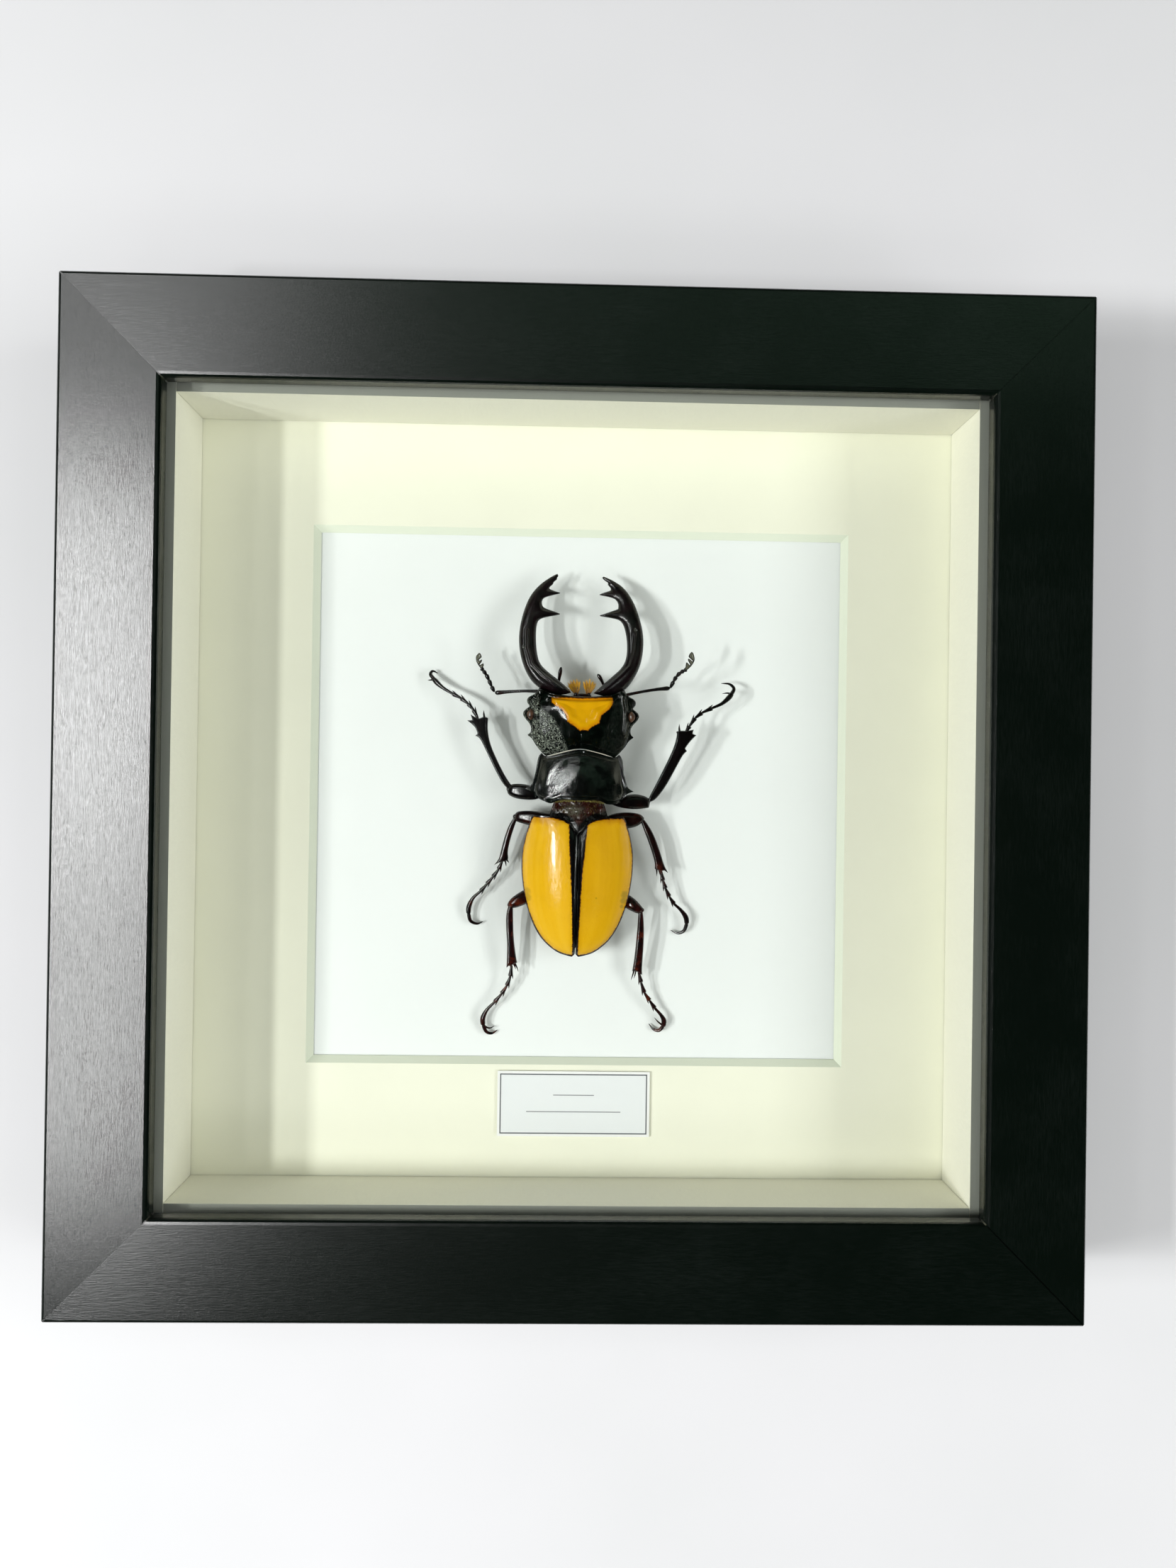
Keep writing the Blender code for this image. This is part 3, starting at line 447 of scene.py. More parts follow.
@dataclass
class Limb:
    """A closed, tapering limb along a smooth path.

    Attributes:
        path: Points that its middle passes through.
        wide: Half widths at even steps from root to tip.
        high: Half heights at even steps, or None to be round.
        sides: Faces round it.
        grain: The length of a face in millimetres.
        blunt: Which share of the length each end's rounding takes.
    """

    path: Sequence[Sequence[float]]
    wide: Sequence[float]
    high: Sequence[float] | None = None
    sides: int = 16
    grain: float = 0.2
    blunt: Pair = (0.08, 0.08)

    def build(self, name: str) -> Piece:
        """The limb as a piece of its own."""
        points = np.asarray(self.path, float)
        length = np.linalg.norm(np.diff(points, axis=0), axis=1).sum()
        rows = max(8, round(length / self.grain))
        high = self.wide if self.high is None else self.high

        def shape(u: Array, v: Array) -> Array:
            """Places on rings that close at both ends."""
            t = (1 - np.cos(math.pi * (v + 1) / 2)) / 2
            root = np.clip(t / self.blunt[0], 0, 1)
            tip = np.clip((1 - t) / self.blunt[1], 0, 1)
            close = np.sqrt(np.clip(1 - (1 - root) ** 2, 0, 1) * np.clip(1 - (1 - tip) ** 2, 0, 1))
            wide = through(self.wide, t) * close
            return ring_places(through(points, t), wide, through(high, t) * close, math.pi * (u + 1))

        return weld(sheet(name, self.sides, rows, shape))


def thorn(root: Sequence[float], tip: Sequence[float], radius: float, bend: float = 0.0) -> Limb:
    """A short pointed spine, which may bend to its left.

    Args:
        root: Where it starts.
        tip: Where it ends.
        radius: Its radius at the root.
        bend: How far its middle stands aside, in millimetres.

    Returns:
        The spine as a limb.
    """
    start, end = np.asarray(root, float), np.asarray(tip, float)
    aside = unit(np.cross([0.0, 0.0, 1.0], end - start)) * bend
    middle = (start + end) / 2 + aside
    return Limb((start, middle, end), (radius, radius * 0.7, radius * 0.12), sides=8, grain=0.15)


def softened(outline: Sequence[Pair], keep: float = 0.6, rounds: int = 2) -> Array:
    """A closed outline with its gentle corners cut smooth.

    Args:
        outline: The corners in order.
        keep: Corners whose turn has a cosine under this stay sharp.
        rounds: How often the corners are cut.

    Returns:
        The corners of the smoother outline.
    """
    points = np.asarray(outline, float)
    for _ in range(rounds):
        behind = points - np.roll(points, 1, axis=0)
        ahead = np.roll(points, -1, axis=0) - points
        sharp = (unit(behind) * unit(ahead)).sum(axis=1) < keep
        cut = []
        for point, back, on, stays in zip(points, behind, ahead, sharp):
            cut += [point] if stays else [point - back / 4, point + on / 4]
        points = np.array(cut)
    return points


@dataclass
class Pillow:
    """A rounded body that fills an outline.

    Attributes:
        outline: Its corners in order.
        heights: The height of its middle and its half thickness, at even steps from start to end.
        start: Where the heights begin, as x and y.
        end: Where they end.
        shoulder: How far inside the outline it reaches its full thickness.
        rim: How far a raised rim stands up along its edge.
        ridge: A line of x and y along which the top is creased, if there is one.
        grain: How finely the outline is followed, in millimetres.
    """

    outline: Sequence[Pair]
    heights: Sequence[Pair]
    start: Sequence[float]
    end: Sequence[float]
    shoulder: float = 1.0
    rim: float = 0.0
    ridge: Sequence[Pair] = ()
    grain: float = 0.08

    def build(self, name: str) -> Piece:
        """The body as a closed piece, with how far each point is inside as "depth"."""
        outline = softened(self.outline)
        let_go()
        bpy.ops.mesh.primitive_circle_add(vertices=len(outline), radius=1.0, fill_type="NGON")
        piece = named(name)
        flat = np.column_stack([outline, -np.ones(len(outline))])
        piece.data.vertices.foreach_set("co", flat.ravel())
        lift = {"value": (0, 0, 2)}
        edit(piece, partial(bpy.ops.mesh.extrude_region_move, TRANSFORM_OT_translate=lift), turn_outwards)
        modify(piece, "REMESH", mode="VOXEL", voxel_size=self.grain)
        places = raw_points(piece)
        begin, way = np.array(self.start[:2]), np.array(self.end[:2]) - np.array(self.start[:2])
        middle, thick = through(self.heights, (places[:, :2] - begin) @ way / (way @ way)).T
        depth = np.maximum(-from_outline(places, outline), 0)
        full = np.sqrt(1 - (1 - np.minimum(depth / self.shoulder, 1)) ** 2)
        half = 0.08 + (thick - 0.08) * full + self.rim * hill(depth, 0.22, 0.12)
        if self.ridge:
            line = np.abs(from_outline(places, (*self.ridge, *reversed(self.ridge))))
            crease = 0.2 * hill(line, 0.0, 0.16) - 0.12 * hill(line, 0.5, 0.22)
            half += rise(places[:, 2], 0.0, 0.9) * crease
        places[:, 2] = middle + places[:, 2] * half
        put_points(piece, places)
        modify(piece, "SMOOTH", factor=0.5, iterations=4)
        mark(piece, "depth", depth)
        return piece


@dataclass
class Plate:
    """A domed body plate with its own outline, closed below.

    Attributes:
        left: Its left side as rows of y and x, from rear to front.
        right: Its right side in the same way.
        rear: Its rear edge as rows of x and y, from left to right.
        front: Its front edge in the same way.
        rows: From rear to front: y, half width of the dome, height on the axis, height at the sides.
        axis: Where the body's middle lies across the board.
        columns: Faces across.
        lines: Faces along.
        power: How flat the dome's crown is.
        floor: How high its underside lies on the axis and at the dome's foot.
        flange: How thick it is outside the dome.
    """

    left: Sequence[Pair]
    right: Sequence[Pair]
    rear: Sequence[Pair]
    front: Sequence[Pair]
    rows: Sequence[tuple[float, float, float, float]]
    axis: float = AXIS
    columns: int = 160
    lines: int = 110
    power: float = 2.4
    floor: Pair = (2.6, 6.0)
    flange: float = 0.6

    def outline(self) -> list[Pair]:
        """The closed outline, as corners in order."""
        sides = [(x, y) for y, x in self.left], [(x, y) for y, x in reversed(self.right)]
        return [*sides[0], *self.front, *sides[1], *reversed(self.rear)]

    def spread(self, u: Array, v: Array) -> tuple[Array, ...]:
        """Lays a sheet out inside the outline.

        Args:
            u: From -1 on the left to 1 on the right.
            v: From -1 at the rear to 1 at the front.

        Returns:
            x, y, the share of the dome's half width, the crown's height and the foot's height.
        """
        t, across = (v + 1) / 2, (1 + 0.4 * u + 0.6 * np.sin(u * math.pi / 2)) / 2
        sides = []
        for side in (self.left, self.right):
            y = side[0][0] + (side[-1][0] - side[0][0]) * t
            sides.append((curve_at(side, y), y))
        (left_x, left_y), (right_x, right_y) = sides
        x = left_x + (right_x - left_x) * across
        y = left_y + (right_y - left_y) * across
        for edge, share in ((self.rear, 1 - t), (self.front, t)):
            (x0, y0), (x1, y1) = edge[0], edge[-1]
            y = y + share * (curve_at(edge, x0 + (x1 - x0) * across) - y0 - (y1 - y0) * across)
        half, crown, low = curve_at(self.rows, (left_y + right_y) / 2).T
        return x, y, np.minimum(np.abs(x - self.axis) / half, 1), crown, low

    def top(self, u: Array, v: Array) -> Array:
        """The upper surface without relief."""
        x, y, share, crown, edge = self.spread(u, v)
        return np.column_stack([x, y, edge + (crown - edge) * (1 - share**self.power) ** 0.6])

    def under(self, u: Array, v: Array) -> Array:
        """The underside, which meets the top all round."""
        _, _, share, _, edge = self.spread(u, v)
        low, foot = self.floor
        inner = low + (foot - low) * share**3
        floor = inner + (edge - self.flange - inner) * rise(share, 0.86, 1.0)
        top = self.top(u, v)
        return np.column_stack([top[:, :2], top[:, 2] + (floor - top[:, 2]) * pinched(u, v, 14)])

    def build(self, name: str, relief: Callable[[Array, Array], Array]) -> Piece:
        """The plate as a piece.

        Args:
            name: The piece's name.
            relief: Takes places measured from the axis, and how far each is inside the outline,
                and gives how far each is raised.

        Returns:
            The closed piece.
        """

        def raised(u: Array, v: Array) -> Array:
            """The upper surface with its relief, which fades out at the edge."""
            places = self.top(u, v)
            inside = -from_outline(places, self.outline())
            fade = rise(inside, 0.0, 0.12) * rise(1 - np.abs(u), 0.0, 0.015) * rise(1 - np.abs(v), 0.0, 0.015)
            places[:, 2] += relief(places - [self.axis, 0, 0], inside) * fade
            return places

        return shell(name, self.columns, self.lines, raised, self.under)


# Material nodes


class Recipe:
    """One material's nodes, from the place on the surface to the shader."""

    def __init__(self, name: str) -> None:
        """Starts a material with its output."""
        self.material = bpy.data.materials.new(name)
        self.material.use_nodes = True
        self.tree = self.material.node_tree
        self.tree.nodes.clear()
        self.output = self.tree.nodes.new("ShaderNodeOutputMaterial")

    def add(self, kind: str, inputs: dict | None = None, **settings: object) -> bpy.types.Node:
        """Adds a node.

        Args:
            kind: Its type without the ShaderNode prefix.
            inputs: Sockets or plain values for its inputs, by name or number.
            settings: Its own settings.

        Returns:
            The node.
        """
        node = self.tree.nodes.new(f"ShaderNode{kind}")
        for setting, value in settings.items():
            setattr(node, setting, value)
        for key, value in (inputs or {}).items():
            if isinstance(value, Socket):
                self.tree.links.new(value, node.inputs[key])
            else:
                node.inputs[key].default_value = value
        return node

    def place(self, stretch: Triple = (1, 1, 1), middle: Triple = (0, 0, 0)) -> Socket:
        """The surface's place in millimetres, stretched and moved.

        Args:
            stretch: Pattern units in each millimetre.
            middle: Which point of the frame becomes 0, in millimetres.

        Returns:
            A vector socket.
        """
        scale = [s / MM for s in stretch]
        move = [-m * s for m, s in zip(middle, stretch)]
        source = self.add("TexCoord").outputs["Object"]
        return self.add("Mapping", {"Vector": source, "Location": move, "Scale": scale}).outputs["Vector"]

    def own_map(self, stretch: Sequence[float]) -> Socket:
        """The piece's UV map, stretched."""
        source = self.add("TexCoord").outputs["UV"]
        return self.add("Mapping", {"Vector": source, "Scale": stretch}).outputs["Vector"]

    def noise(
        self, scale: float, detail: float = 2.0, swirl: float = 0.0, where: Socket | Triple = (1, 1, 1)
    ) -> Socket:
        """Smooth noise.

        Args:
            scale: Swings in each pattern unit.
            detail: How many finer layers it has.
            swirl: How much it is twisted.
            where: The pattern's place, or pattern units in each millimetre of the surface's place.

        Returns:
            A socket from 0 to 1.
        """
        place = where if isinstance(where, Socket) else self.place(where)
        inputs = {"Vector": place, "Scale": scale, "Detail": detail, "Distortion": swirl}
        return self.add("TexNoise", inputs).outputs["Fac"]

    def cells(self, scale: float) -> Socket:
        """Distance from the nearest centre in a pattern of cells, with so many in a millimetre."""
        return self.add("TexVoronoi", {"Vector": self.place(), "Scale": scale}).outputs["Distance"]

    def value(self, name: str) -> Socket:
        """A number that the mesh carries on its points."""
        return self.add("Attribute", attribute_name=name).outputs["Fac"]

    def sum(self, operation: str, a: object, b: object = 0.0, c: object = 0.0) -> Socket:
        """One step of arithmetic on sockets or numbers."""
        return self.add("Math", {0: a, 1: b, 2: c}, operation=operation).outputs[0]

    def far_from(self, point: Sequence[float], stretch: Sequence[float] = (1, 1, 1)) -> Socket:
        """How far the surface lies from a point of the frame, in millimetres."""
        place = self.place(stretch, point)
        return self.add("VectorMath", {0: place}, operation="LENGTH").outputs["Value"]

    def facing_up(self) -> Socket:
        """How far the surface faces up, from -1 to 1."""
        return self.add("SeparateXYZ", {0: self.add("NewGeometry").outputs["Normal"]}).outputs["Z"]

    def times(self, a: object, b: object) -> Socket:
        """Two sockets or numbers multiplied."""
        return self.sum("MULTIPLY", a, b)

    def span(self, value: Socket, low: float, high: float, first: float = 0.0, last: float = 1.0) -> Socket:
        """A value turned from one range into another, and held at its ends."""
        inputs = {"Value": value, "From Min": low, "From Max": high, "To Min": first, "To Max": last}
        return self.add("MapRange", inputs).outputs["Result"]

    def fall(self, value: Socket, low: float, high: float, most: float = 1.0) -> Socket:
        """From most at low down to 0 at high."""
        return self.span(value, low, high, most, 0.0)

    def blend(self, share: object, first: object, second: object) -> Socket:
        """A colour between two, each a socket or red, green and blue."""
        first, second = (c if isinstance(c, Socket) else (*c, 1.0) for c in (first, second))
        node = self.add("Mix", {0: share, 6: first, 7: second}, data_type="RGBA")
        return node.outputs[2]

    def cloudy(self, value: Socket, colour: Colour, low: float = 0.3, dark: float = 0.97) -> Socket:
        """A colour that turns slightly darker as a value goes from low to 0.7."""
        return self.blend(self.span(value, low, 0.7), colour, [c * dark for c in colour])

    def bump(self, height: Socket, depth: float, strength: float = 1.0, over: object = None) -> Socket:
        """A normal from a height.

        Args:
            height: From 0 to 1.
            depth: How many millimetres 1 stands for.
            strength: How much of it is used.
            over: Another bump's normal that this one lies on.

        Returns:
            A normal socket.
        """
        inputs = {"Height": height, "Distance": depth * MM, "Strength": strength}
        if over is not None:
            inputs["Normal"] = over
        return self.add("Bump", inputs).outputs["Normal"]

    def shade(self, colour: object, roughness: object, normal: object = None, **constants: float) -> Material:
        """Finishes the material with a Principled shader.

        Args:
            colour: A socket, or red, green and blue.
            roughness: A socket or a number.
            normal: A bump's normal, if there is one.
            constants: Values for the shader's own sockets, with _ for a space.

        Returns:
            The material.
        """
        inputs = {"Base Color": colour if isinstance(colour, Socket) else (*colour, 1.0)}
        inputs["Roughness"] = roughness
        if normal is not None:
            inputs["Normal"] = normal
        for name, value in constants.items():
            inputs[name.replace("_", " ")] = value
        shader = self.add("BsdfPrincipled", inputs)
        self.tree.links.new(shader.outputs[0], self.output.inputs["Surface"])
        return self.material


# Finishes of the frame


class Grain(Enum):
    """Which way a rail's fine lines run."""

    ALONG_X = (0.45, 6.5, 6.5)
    ALONG_Y = (6.5, 0.45, 6.5)


@dataclass(frozen=True)
class BlackMoulding:
    """Satin black lacquer over finely brushed wood."""

    grain: Grain
    colour: Colour = (0.0012, 0.0030, 0.0018)
    worn: Colour = (0.004, 0.0065, 0.005)

    def build(self) -> Material:
        """The material for rails that lie one way."""
        r = Recipe(f"black_moulding_{self.grain.name.lower()}")
        lines = r.noise(1.0, 3.0, 0.4, self.grain.value)
        pebble = r.noise(2.6, 2.0)
        height = r.sum("MULTIPLY_ADD", lines, 1.0, r.times(pebble, 0.5))
        patches = r.noise(0.06, 3.0)
        colour = r.blend(r.span(r.times(lines, patches), 0.2, 0.5), self.colour, self.worn)
        roughness = r.span(lines, 0.3, 0.7, 0.23, 0.26)
        normal = r.bump(height, 0.03, 0.6)
        return r.shade(colour, roughness, normal, IOR=1.5, Specular_IOR_Level=0.38)


@dataclass(frozen=True)
class PaneGlass:
    """Clear picture glass with a trace of dust."""

    tint: Colour = (0.922, 0.931, 0.925)

    def build(self) -> Material:
        """The material, which lets lamps through."""
        r = Recipe("glass_pane")
        dust = r.noise(0.35, 4.0)
        gloss = r.add("BsdfGlossy", {"Color": (1, 1, 1, 1), "Roughness": r.span(dust, 0.3, 0.8, 0.01, 0.06)})
        clear = r.add("BsdfTransparent", {"Color": (*self.tint, 1)})
        grazing = r.sum("POWER", r.add("LayerWeight", {"Blend": 0.5}).outputs["Facing"], 5.0)
        share = r.sum("MULTIPLY_ADD", grazing, 0.7, 0.017)
        mix = r.add("MixShader", {0: share, 1: clear.outputs[0], 2: gloss.outputs[0]})
        r.tree.links.new(mix.outputs[0], r.output.inputs["Surface"])
        return r.material


@dataclass(frozen=True)
class SpacerBoard:
    """Foam board faced with off-white paper, its cut front edge grey."""

    paper: Colour = (0.90, 0.885, 0.78)
    core: Colour = (0.30, 0.31, 0.27)

    def build(self) -> Material:
        """The material."""
        r = Recipe("spacer_paper")
        fibre = r.noise(1.0, 4.0, where=(3.0, 3.0, 0.7))
        paper = r.cloudy(fibre, self.paper, 0.35, dark=0.95)
        colour = r.blend(r.span(r.facing_up(), 0.8, 0.9), paper, self.core)
        return r.shade(colour, 0.8, r.bump(fibre, 0.02, 0.6), Specular_IOR_Level=0.05)


@dataclass(frozen=True)
class MountPaper:
    """Cream mount board, with a darker, greener cream on the cut of its window."""

    paper: Colour = (0.92, 0.915, 0.76)
    core: Colour = (0.80, 0.84, 0.70)
    speck: Colour = (0.55, 0.50, 0.36)

    def build(self) -> Material:
        """The material."""
        r = Recipe("mount_paper")
        cloud = r.noise(0.05, 3.0)
        fibre = r.noise(4.0, 4.0, 0.8)
        paper = r.cloudy(cloud, self.paper)
        specks = r.fall(r.cells(0.22), 0.0, 0.035)
        paper = r.blend(r.times(specks, 0.5), paper, self.speck)
        # Faces that don't look up, the cut of the window, get the darker, greener cream
        colour = r.blend(r.span(r.facing_up(), 0.8, 0.95), self.core, paper)
        return r.shade(colour, 0.85, r.bump(fibre, 0.02, 0.5), Specular_IOR_Level=0.05)


@dataclass(frozen=True)
class SpecimenBoard:
    """Smooth cool white card with a few specks of dust."""

    paper: Colour = (0.89, 0.915, 0.895)
    speck: Colour = (0.45, 0.43, 0.38)

    def build(self) -> Material:
        """The material."""
        r = Recipe("board_paper")
        cloud = r.noise(0.04, 2.0)
        fibre = r.noise(5.0, 3.0, 0.5)
        paper = r.cloudy(cloud, self.paper, dark=0.98)
        specks = r.fall(r.cells(0.13), 0.0, 0.02)
        colour = r.blend(r.times(specks, 0.6), paper, self.speck)
        return r.shade(colour, 0.8, r.bump(fibre, 0.012, 0.4), Specular_IOR_Level=0.3)


@dataclass(frozen=True)
class Hardboard:
    """Brown hardboard with pressed fibres."""

    dark: Colour = (0.17, 0.095, 0.045)
    light: Colour = (0.36, 0.22, 0.12)

    def build(self) -> Material:
        """The material."""
        r = Recipe("pressed_hardboard")
        fibre = r.noise(1.0, 6.0, 1.4, (1.6, 0.5, 1.0))
        mesh = r.cells(0.9)
        colour = r.blend(r.span(fibre, 0.32, 0.68), self.dark, self.light)
        height = r.sum("MULTIPLY_ADD", mesh, 0.6, fibre)
        return r.shade(colour, 0.7, r.bump(height, 0.12, 0.7), Specular_IOR_Level=0.3)


@dataclass(frozen=True)
class ZincSteel:
    """Bright zinc plating with soft mottling."""

    light: Colour = (0.66, 0.66, 0.63)
    dark: Colour = (0.45, 0.46, 0.45)

    def build(self) -> Material:
        """The material."""
        r = Recipe("zinc_plating")
        cloud = r.noise(0.8, 4.0)
        scratch = r.noise(1.0, 2.0, where=(0.6, 9.0, 9.0))
        colour = r.blend(r.span(cloud, 0.35, 0.65), self.dark, self.light)
        roughness = r.span(cloud, 0.3, 0.7, 0.28, 0.5)
        return r.shade(colour, roughness, r.bump(scratch, 0.01, 0.5), Metallic=1.0)


@dataclass(frozen=True)
class LabelCard:
    """White card with one thin printed border and two plain rules.

    Attributes:
        middle: The card's middle in the frame, in millimetres.
        size: Width and height of the card in millimetres.
        inset: From the card's edge to the border's outer side.
        line: How wide the border is.
        rules: How far above the middle each rule lies, and its half length.
        rule: Where a rule's ink begins and ends to fade, from its own middle.
        ink_strength: How dark the rules are.
    """

    middle: Pair
    size: Pair
    inset: float = 0.55
    line: float = 0.24
    rules: Pairs = ((1.9, 4.4), (-1.7, 10.2))
    rule: Pair = (0.07, 0.13)
    ink_strength: float = 0.75
    card: Colour = (0.84, 0.86, 0.86)
    margin: Colour = (0.90, 0.90, 0.88)
    ink: Colour = (0.055, 0.06, 0.07)

    def build(self) -> Material:
        """The material, with its border measured from the card's edges."""
        r = Recipe("label_print")
        place = r.add("SeparateXYZ", {0: r.place(middle=(*self.middle, 0.0))})
        from_middle = [r.sum("ABSOLUTE", place.outputs[axis]) for axis in (0, 1)]
        depths = [r.sum("SUBTRACT", half / 2, found) for half, found in zip(self.size, from_middle)]
        depth = r.sum("MINIMUM", *depths)
        soft = 0.05
        outer = r.span(depth, self.inset - soft, self.inset + soft)
        inner = r.span(depth, self.inset + self.line - soft, self.inset + self.line + soft)
        fibre = r.noise(5.0, 3.0)
        card = r.cloudy(fibre, self.card)
        colour = r.blend(outer, self.margin, self.ink)
        colour = r.blend(inner, colour, card)
        for above, half in self.rules:
            off = r.sum("ABSOLUTE", r.sum("SUBTRACT", place.outputs[1], above))
            here = r.times(r.fall(off, *self.rule), r.fall(from_middle[0], half, half + soft))
            colour = r.blend(r.times(here, self.ink_strength), colour, self.ink)
        return r.shade(colour, 0.6, r.bump(fibre, 0.01, 0.4), Specular_IOR_Level=0.35)


# Finishes of the insect


@dataclass(frozen=True)
class BlackCuticle:
    """Black shell with a faint green depth, pitted finely.

    Attributes:
        name: The material's name.
        pits: Pits in each millimetre.
        pit_depth: How deep they are, in millimetres.
        gloss: Lowest and highest roughness.
        level: How strongly it shines.
    """

    name: str
    pits: float = 7.0
    pit_depth: float = 0.02
    gloss: Pair = (0.24, 0.36)
    level: float = 0.4
    colour: Colour = (0.0006, 0.0012, 0.0008)
    dusty: Colour = (0.0022, 0.0048, 0.0030)

    def ground(self, r: Recipe) -> tuple[Socket, Socket, Socket]:
        """Colour, roughness and normal of the plain shell."""
        cloud = r.noise(0.55, 4.0)
        pits = r.span(r.cells(self.pits), 0.1, 0.7)
        fine = r.noise(6.0, 2.0)
        colour = r.blend(r.span(cloud, 0.42, 0.75), self.colour, self.dusty)
        roughness = r.span(cloud, 0.3, 0.7, *self.gloss)
        normal = r.bump(fine, self.pit_depth * 0.6, 0.6, r.bump(pits, self.pit_depth, 0.9))
        return colour, roughness, normal

    def build(self) -> Material:
        """The material."""
        r = Recipe(self.name)
        return r.shade(*self.ground(r), IOR=1.5, Specular_IOR_Level=self.level)


@dataclass(frozen=True)
class HeadCuticle(BlackCuticle):
    """The head's shell: the amber patch on its front, and cheek wrinkles painted pale as a highlight."""

    amber: Colour = (0.72, 0.36, 0.002)
    deep: Colour = (0.55, 0.20, 0.002)
    edge: Colour = (0.08, 0.018, 0.003)
    worm_highlight: Colour = (0.29, 0.32, 0.26)

    def build(self) -> Material:
        """The material, which reads how far each place is from the patch and the cheeks."""
        r = Recipe(self.name)
        colour, roughness, normal = self.ground(r)
        wander = r.span(r.noise(2.2, 3.0), 0.0, 1.0, -0.22, 0.22)
        outside = r.sum("ADD", r.value("patch"), wander)
        cloud = r.span(r.noise(0.45, 3.0), 0.35, 0.65)
        amber = r.blend(cloud, self.amber, [c * 0.9 for c in self.amber])
        amber = r.blend(r.span(outside, -0.9, -0.1), amber, self.deep)
        dots = r.fall(r.cells(0.75), 0.03, 0.07)
        amber = r.blend(r.times(dots, 0.8), amber, self.edge)
        fringe = r.blend(r.span(outside, -0.16, 0.02), amber, self.edge)
        colour = r.blend(r.span(outside, -0.02, 0.12), fringe, colour)
        cheek = r.value("cheek")
        levels = r.times(r.noise(1.4, 0.0, 1.2, (1, 1, 0)), 4.0)
        worms = r.times(r.fall(r.sum("PINGPONG", levels, 0.5), 0.1, 0.22), cheek)
        # The pale worm colour is a painted highlight on the wrinkles, full only where the cheek value is high
        colour = r.blend(worms, colour, self.worm_highlight)
        normal = r.bump(worms, 0.10, 1.0, normal)
        level = r.span(outside, -0.02, 0.12, 0.1, 0.4)
        roughness = r.sum("MULTIPLY_ADD", cheek, 0.12, roughness)
        return r.shade(colour, roughness, normal, IOR=1.5, Specular_IOR_Level=level)


@dataclass(frozen=True)
class WingCase:
    """Glossy amber wing case with black borders.

    Attributes:
        name: The material's name.
        spots: Dark marks as place, radius and strength, in the insect's millimetres.
    """

    name: str
    spots: Fours
    amber: Colour = (0.80, 0.42, 0.0)
    pale: Colour = (0.88, 0.51, 0.03)
    olive: Colour = (0.36, 0.22, 0.001)
    black: Colour = (0.0012, 0.001, 0.0012)
    rust: Colour = (0.22, 0.045, 0.003)
    stain: Colour = (0.42, 0.15, 0.002)

    def build(self) -> Material:
        """The material, which reads how far each place is inside the borders."""
        r = Recipe(self.name)
        streak = r.noise(1.0, 3.0, 0.3, r.own_map((6.0, 0.6, 1.0)))
        cloud = r.noise(0.16, 3.0)
        colour = r.blend(r.span(streak, 0.35, 0.8), self.amber, self.pale)
        colour = r.blend(r.span(cloud, 0.5, 0.8, 0.0, 0.5), colour, [c * 0.86 for c in self.amber])
        tail = r.span(r.value("along"), -12.0, -26.0, 0.0, 0.55)
        colour = r.blend(tail, colour, self.pale)
        ragged = r.span(r.noise(2.6, 3.0), 0.2, 0.8, -0.16, 0.16)
        inside = r.sum("ADD", r.value("border"), ragged)
        colour = r.blend(r.span(inside, 0.0, 0.9, 0.55, 0.0), colour, [c * 0.72 for c in self.amber])
        front = r.sum("MULTIPLY_ADD", r.noise(0.5, 3.0), 3.0, r.value("along"))
        colour = r.blend(r.span(front, 2.6, 4.6, 0.0, 0.75), colour, self.stain)
        for x, y, radius, strength in self.spots:
            centre = PLACE.to_frame(np.array([[x, y, 0.0]]))[0] / MM
            away = r.far_from((*centre[:2], 0.0), (1, 1, 0))
            away = r.sum("MULTIPLY_ADD", r.noise(1.6, 3.0), radius * 0.8, away)
            near = r.fall(away, radius * 1.1, radius * 1.7, strength)
            colour = r.blend(near, colour, self.olive)
        dots = r.span(r.cells(0.42), 0.018, 0.04, 0.85, 0.0)
        colour = r.blend(dots, colour, self.rust)
        colour = r.blend(r.fall(inside, -0.06, 0.1), colour, self.rust)
        colour = r.blend(r.fall(inside, -0.12, 0.02), colour, self.black)
        fine = r.noise(9.0, 2.0)
        ripple = r.noise(1.0, 2.5, where=(0.9, 0.45, 0.9))
        normal = r.bump(fine, 0.002, 0.5, r.bump(ripple, 0.11, 0.8))
        roughness = r.span(cloud, 0.3, 0.7, 0.2, 0.28)
        worn = r.sum("MULTIPLY_ADD", r.noise(1.0, 2.0, where=(1.4, 0.8, 1.4)), 5.0, r.value("along"))
        coat = r.span(worn, -5.6, -4.4, 0.02, 0.35)
        return r.shade(
            colour, roughness, normal, IOR=1.5, Specular_IOR_Level=0.18, Coat_Weight=coat, Coat_Roughness=0.03
        )


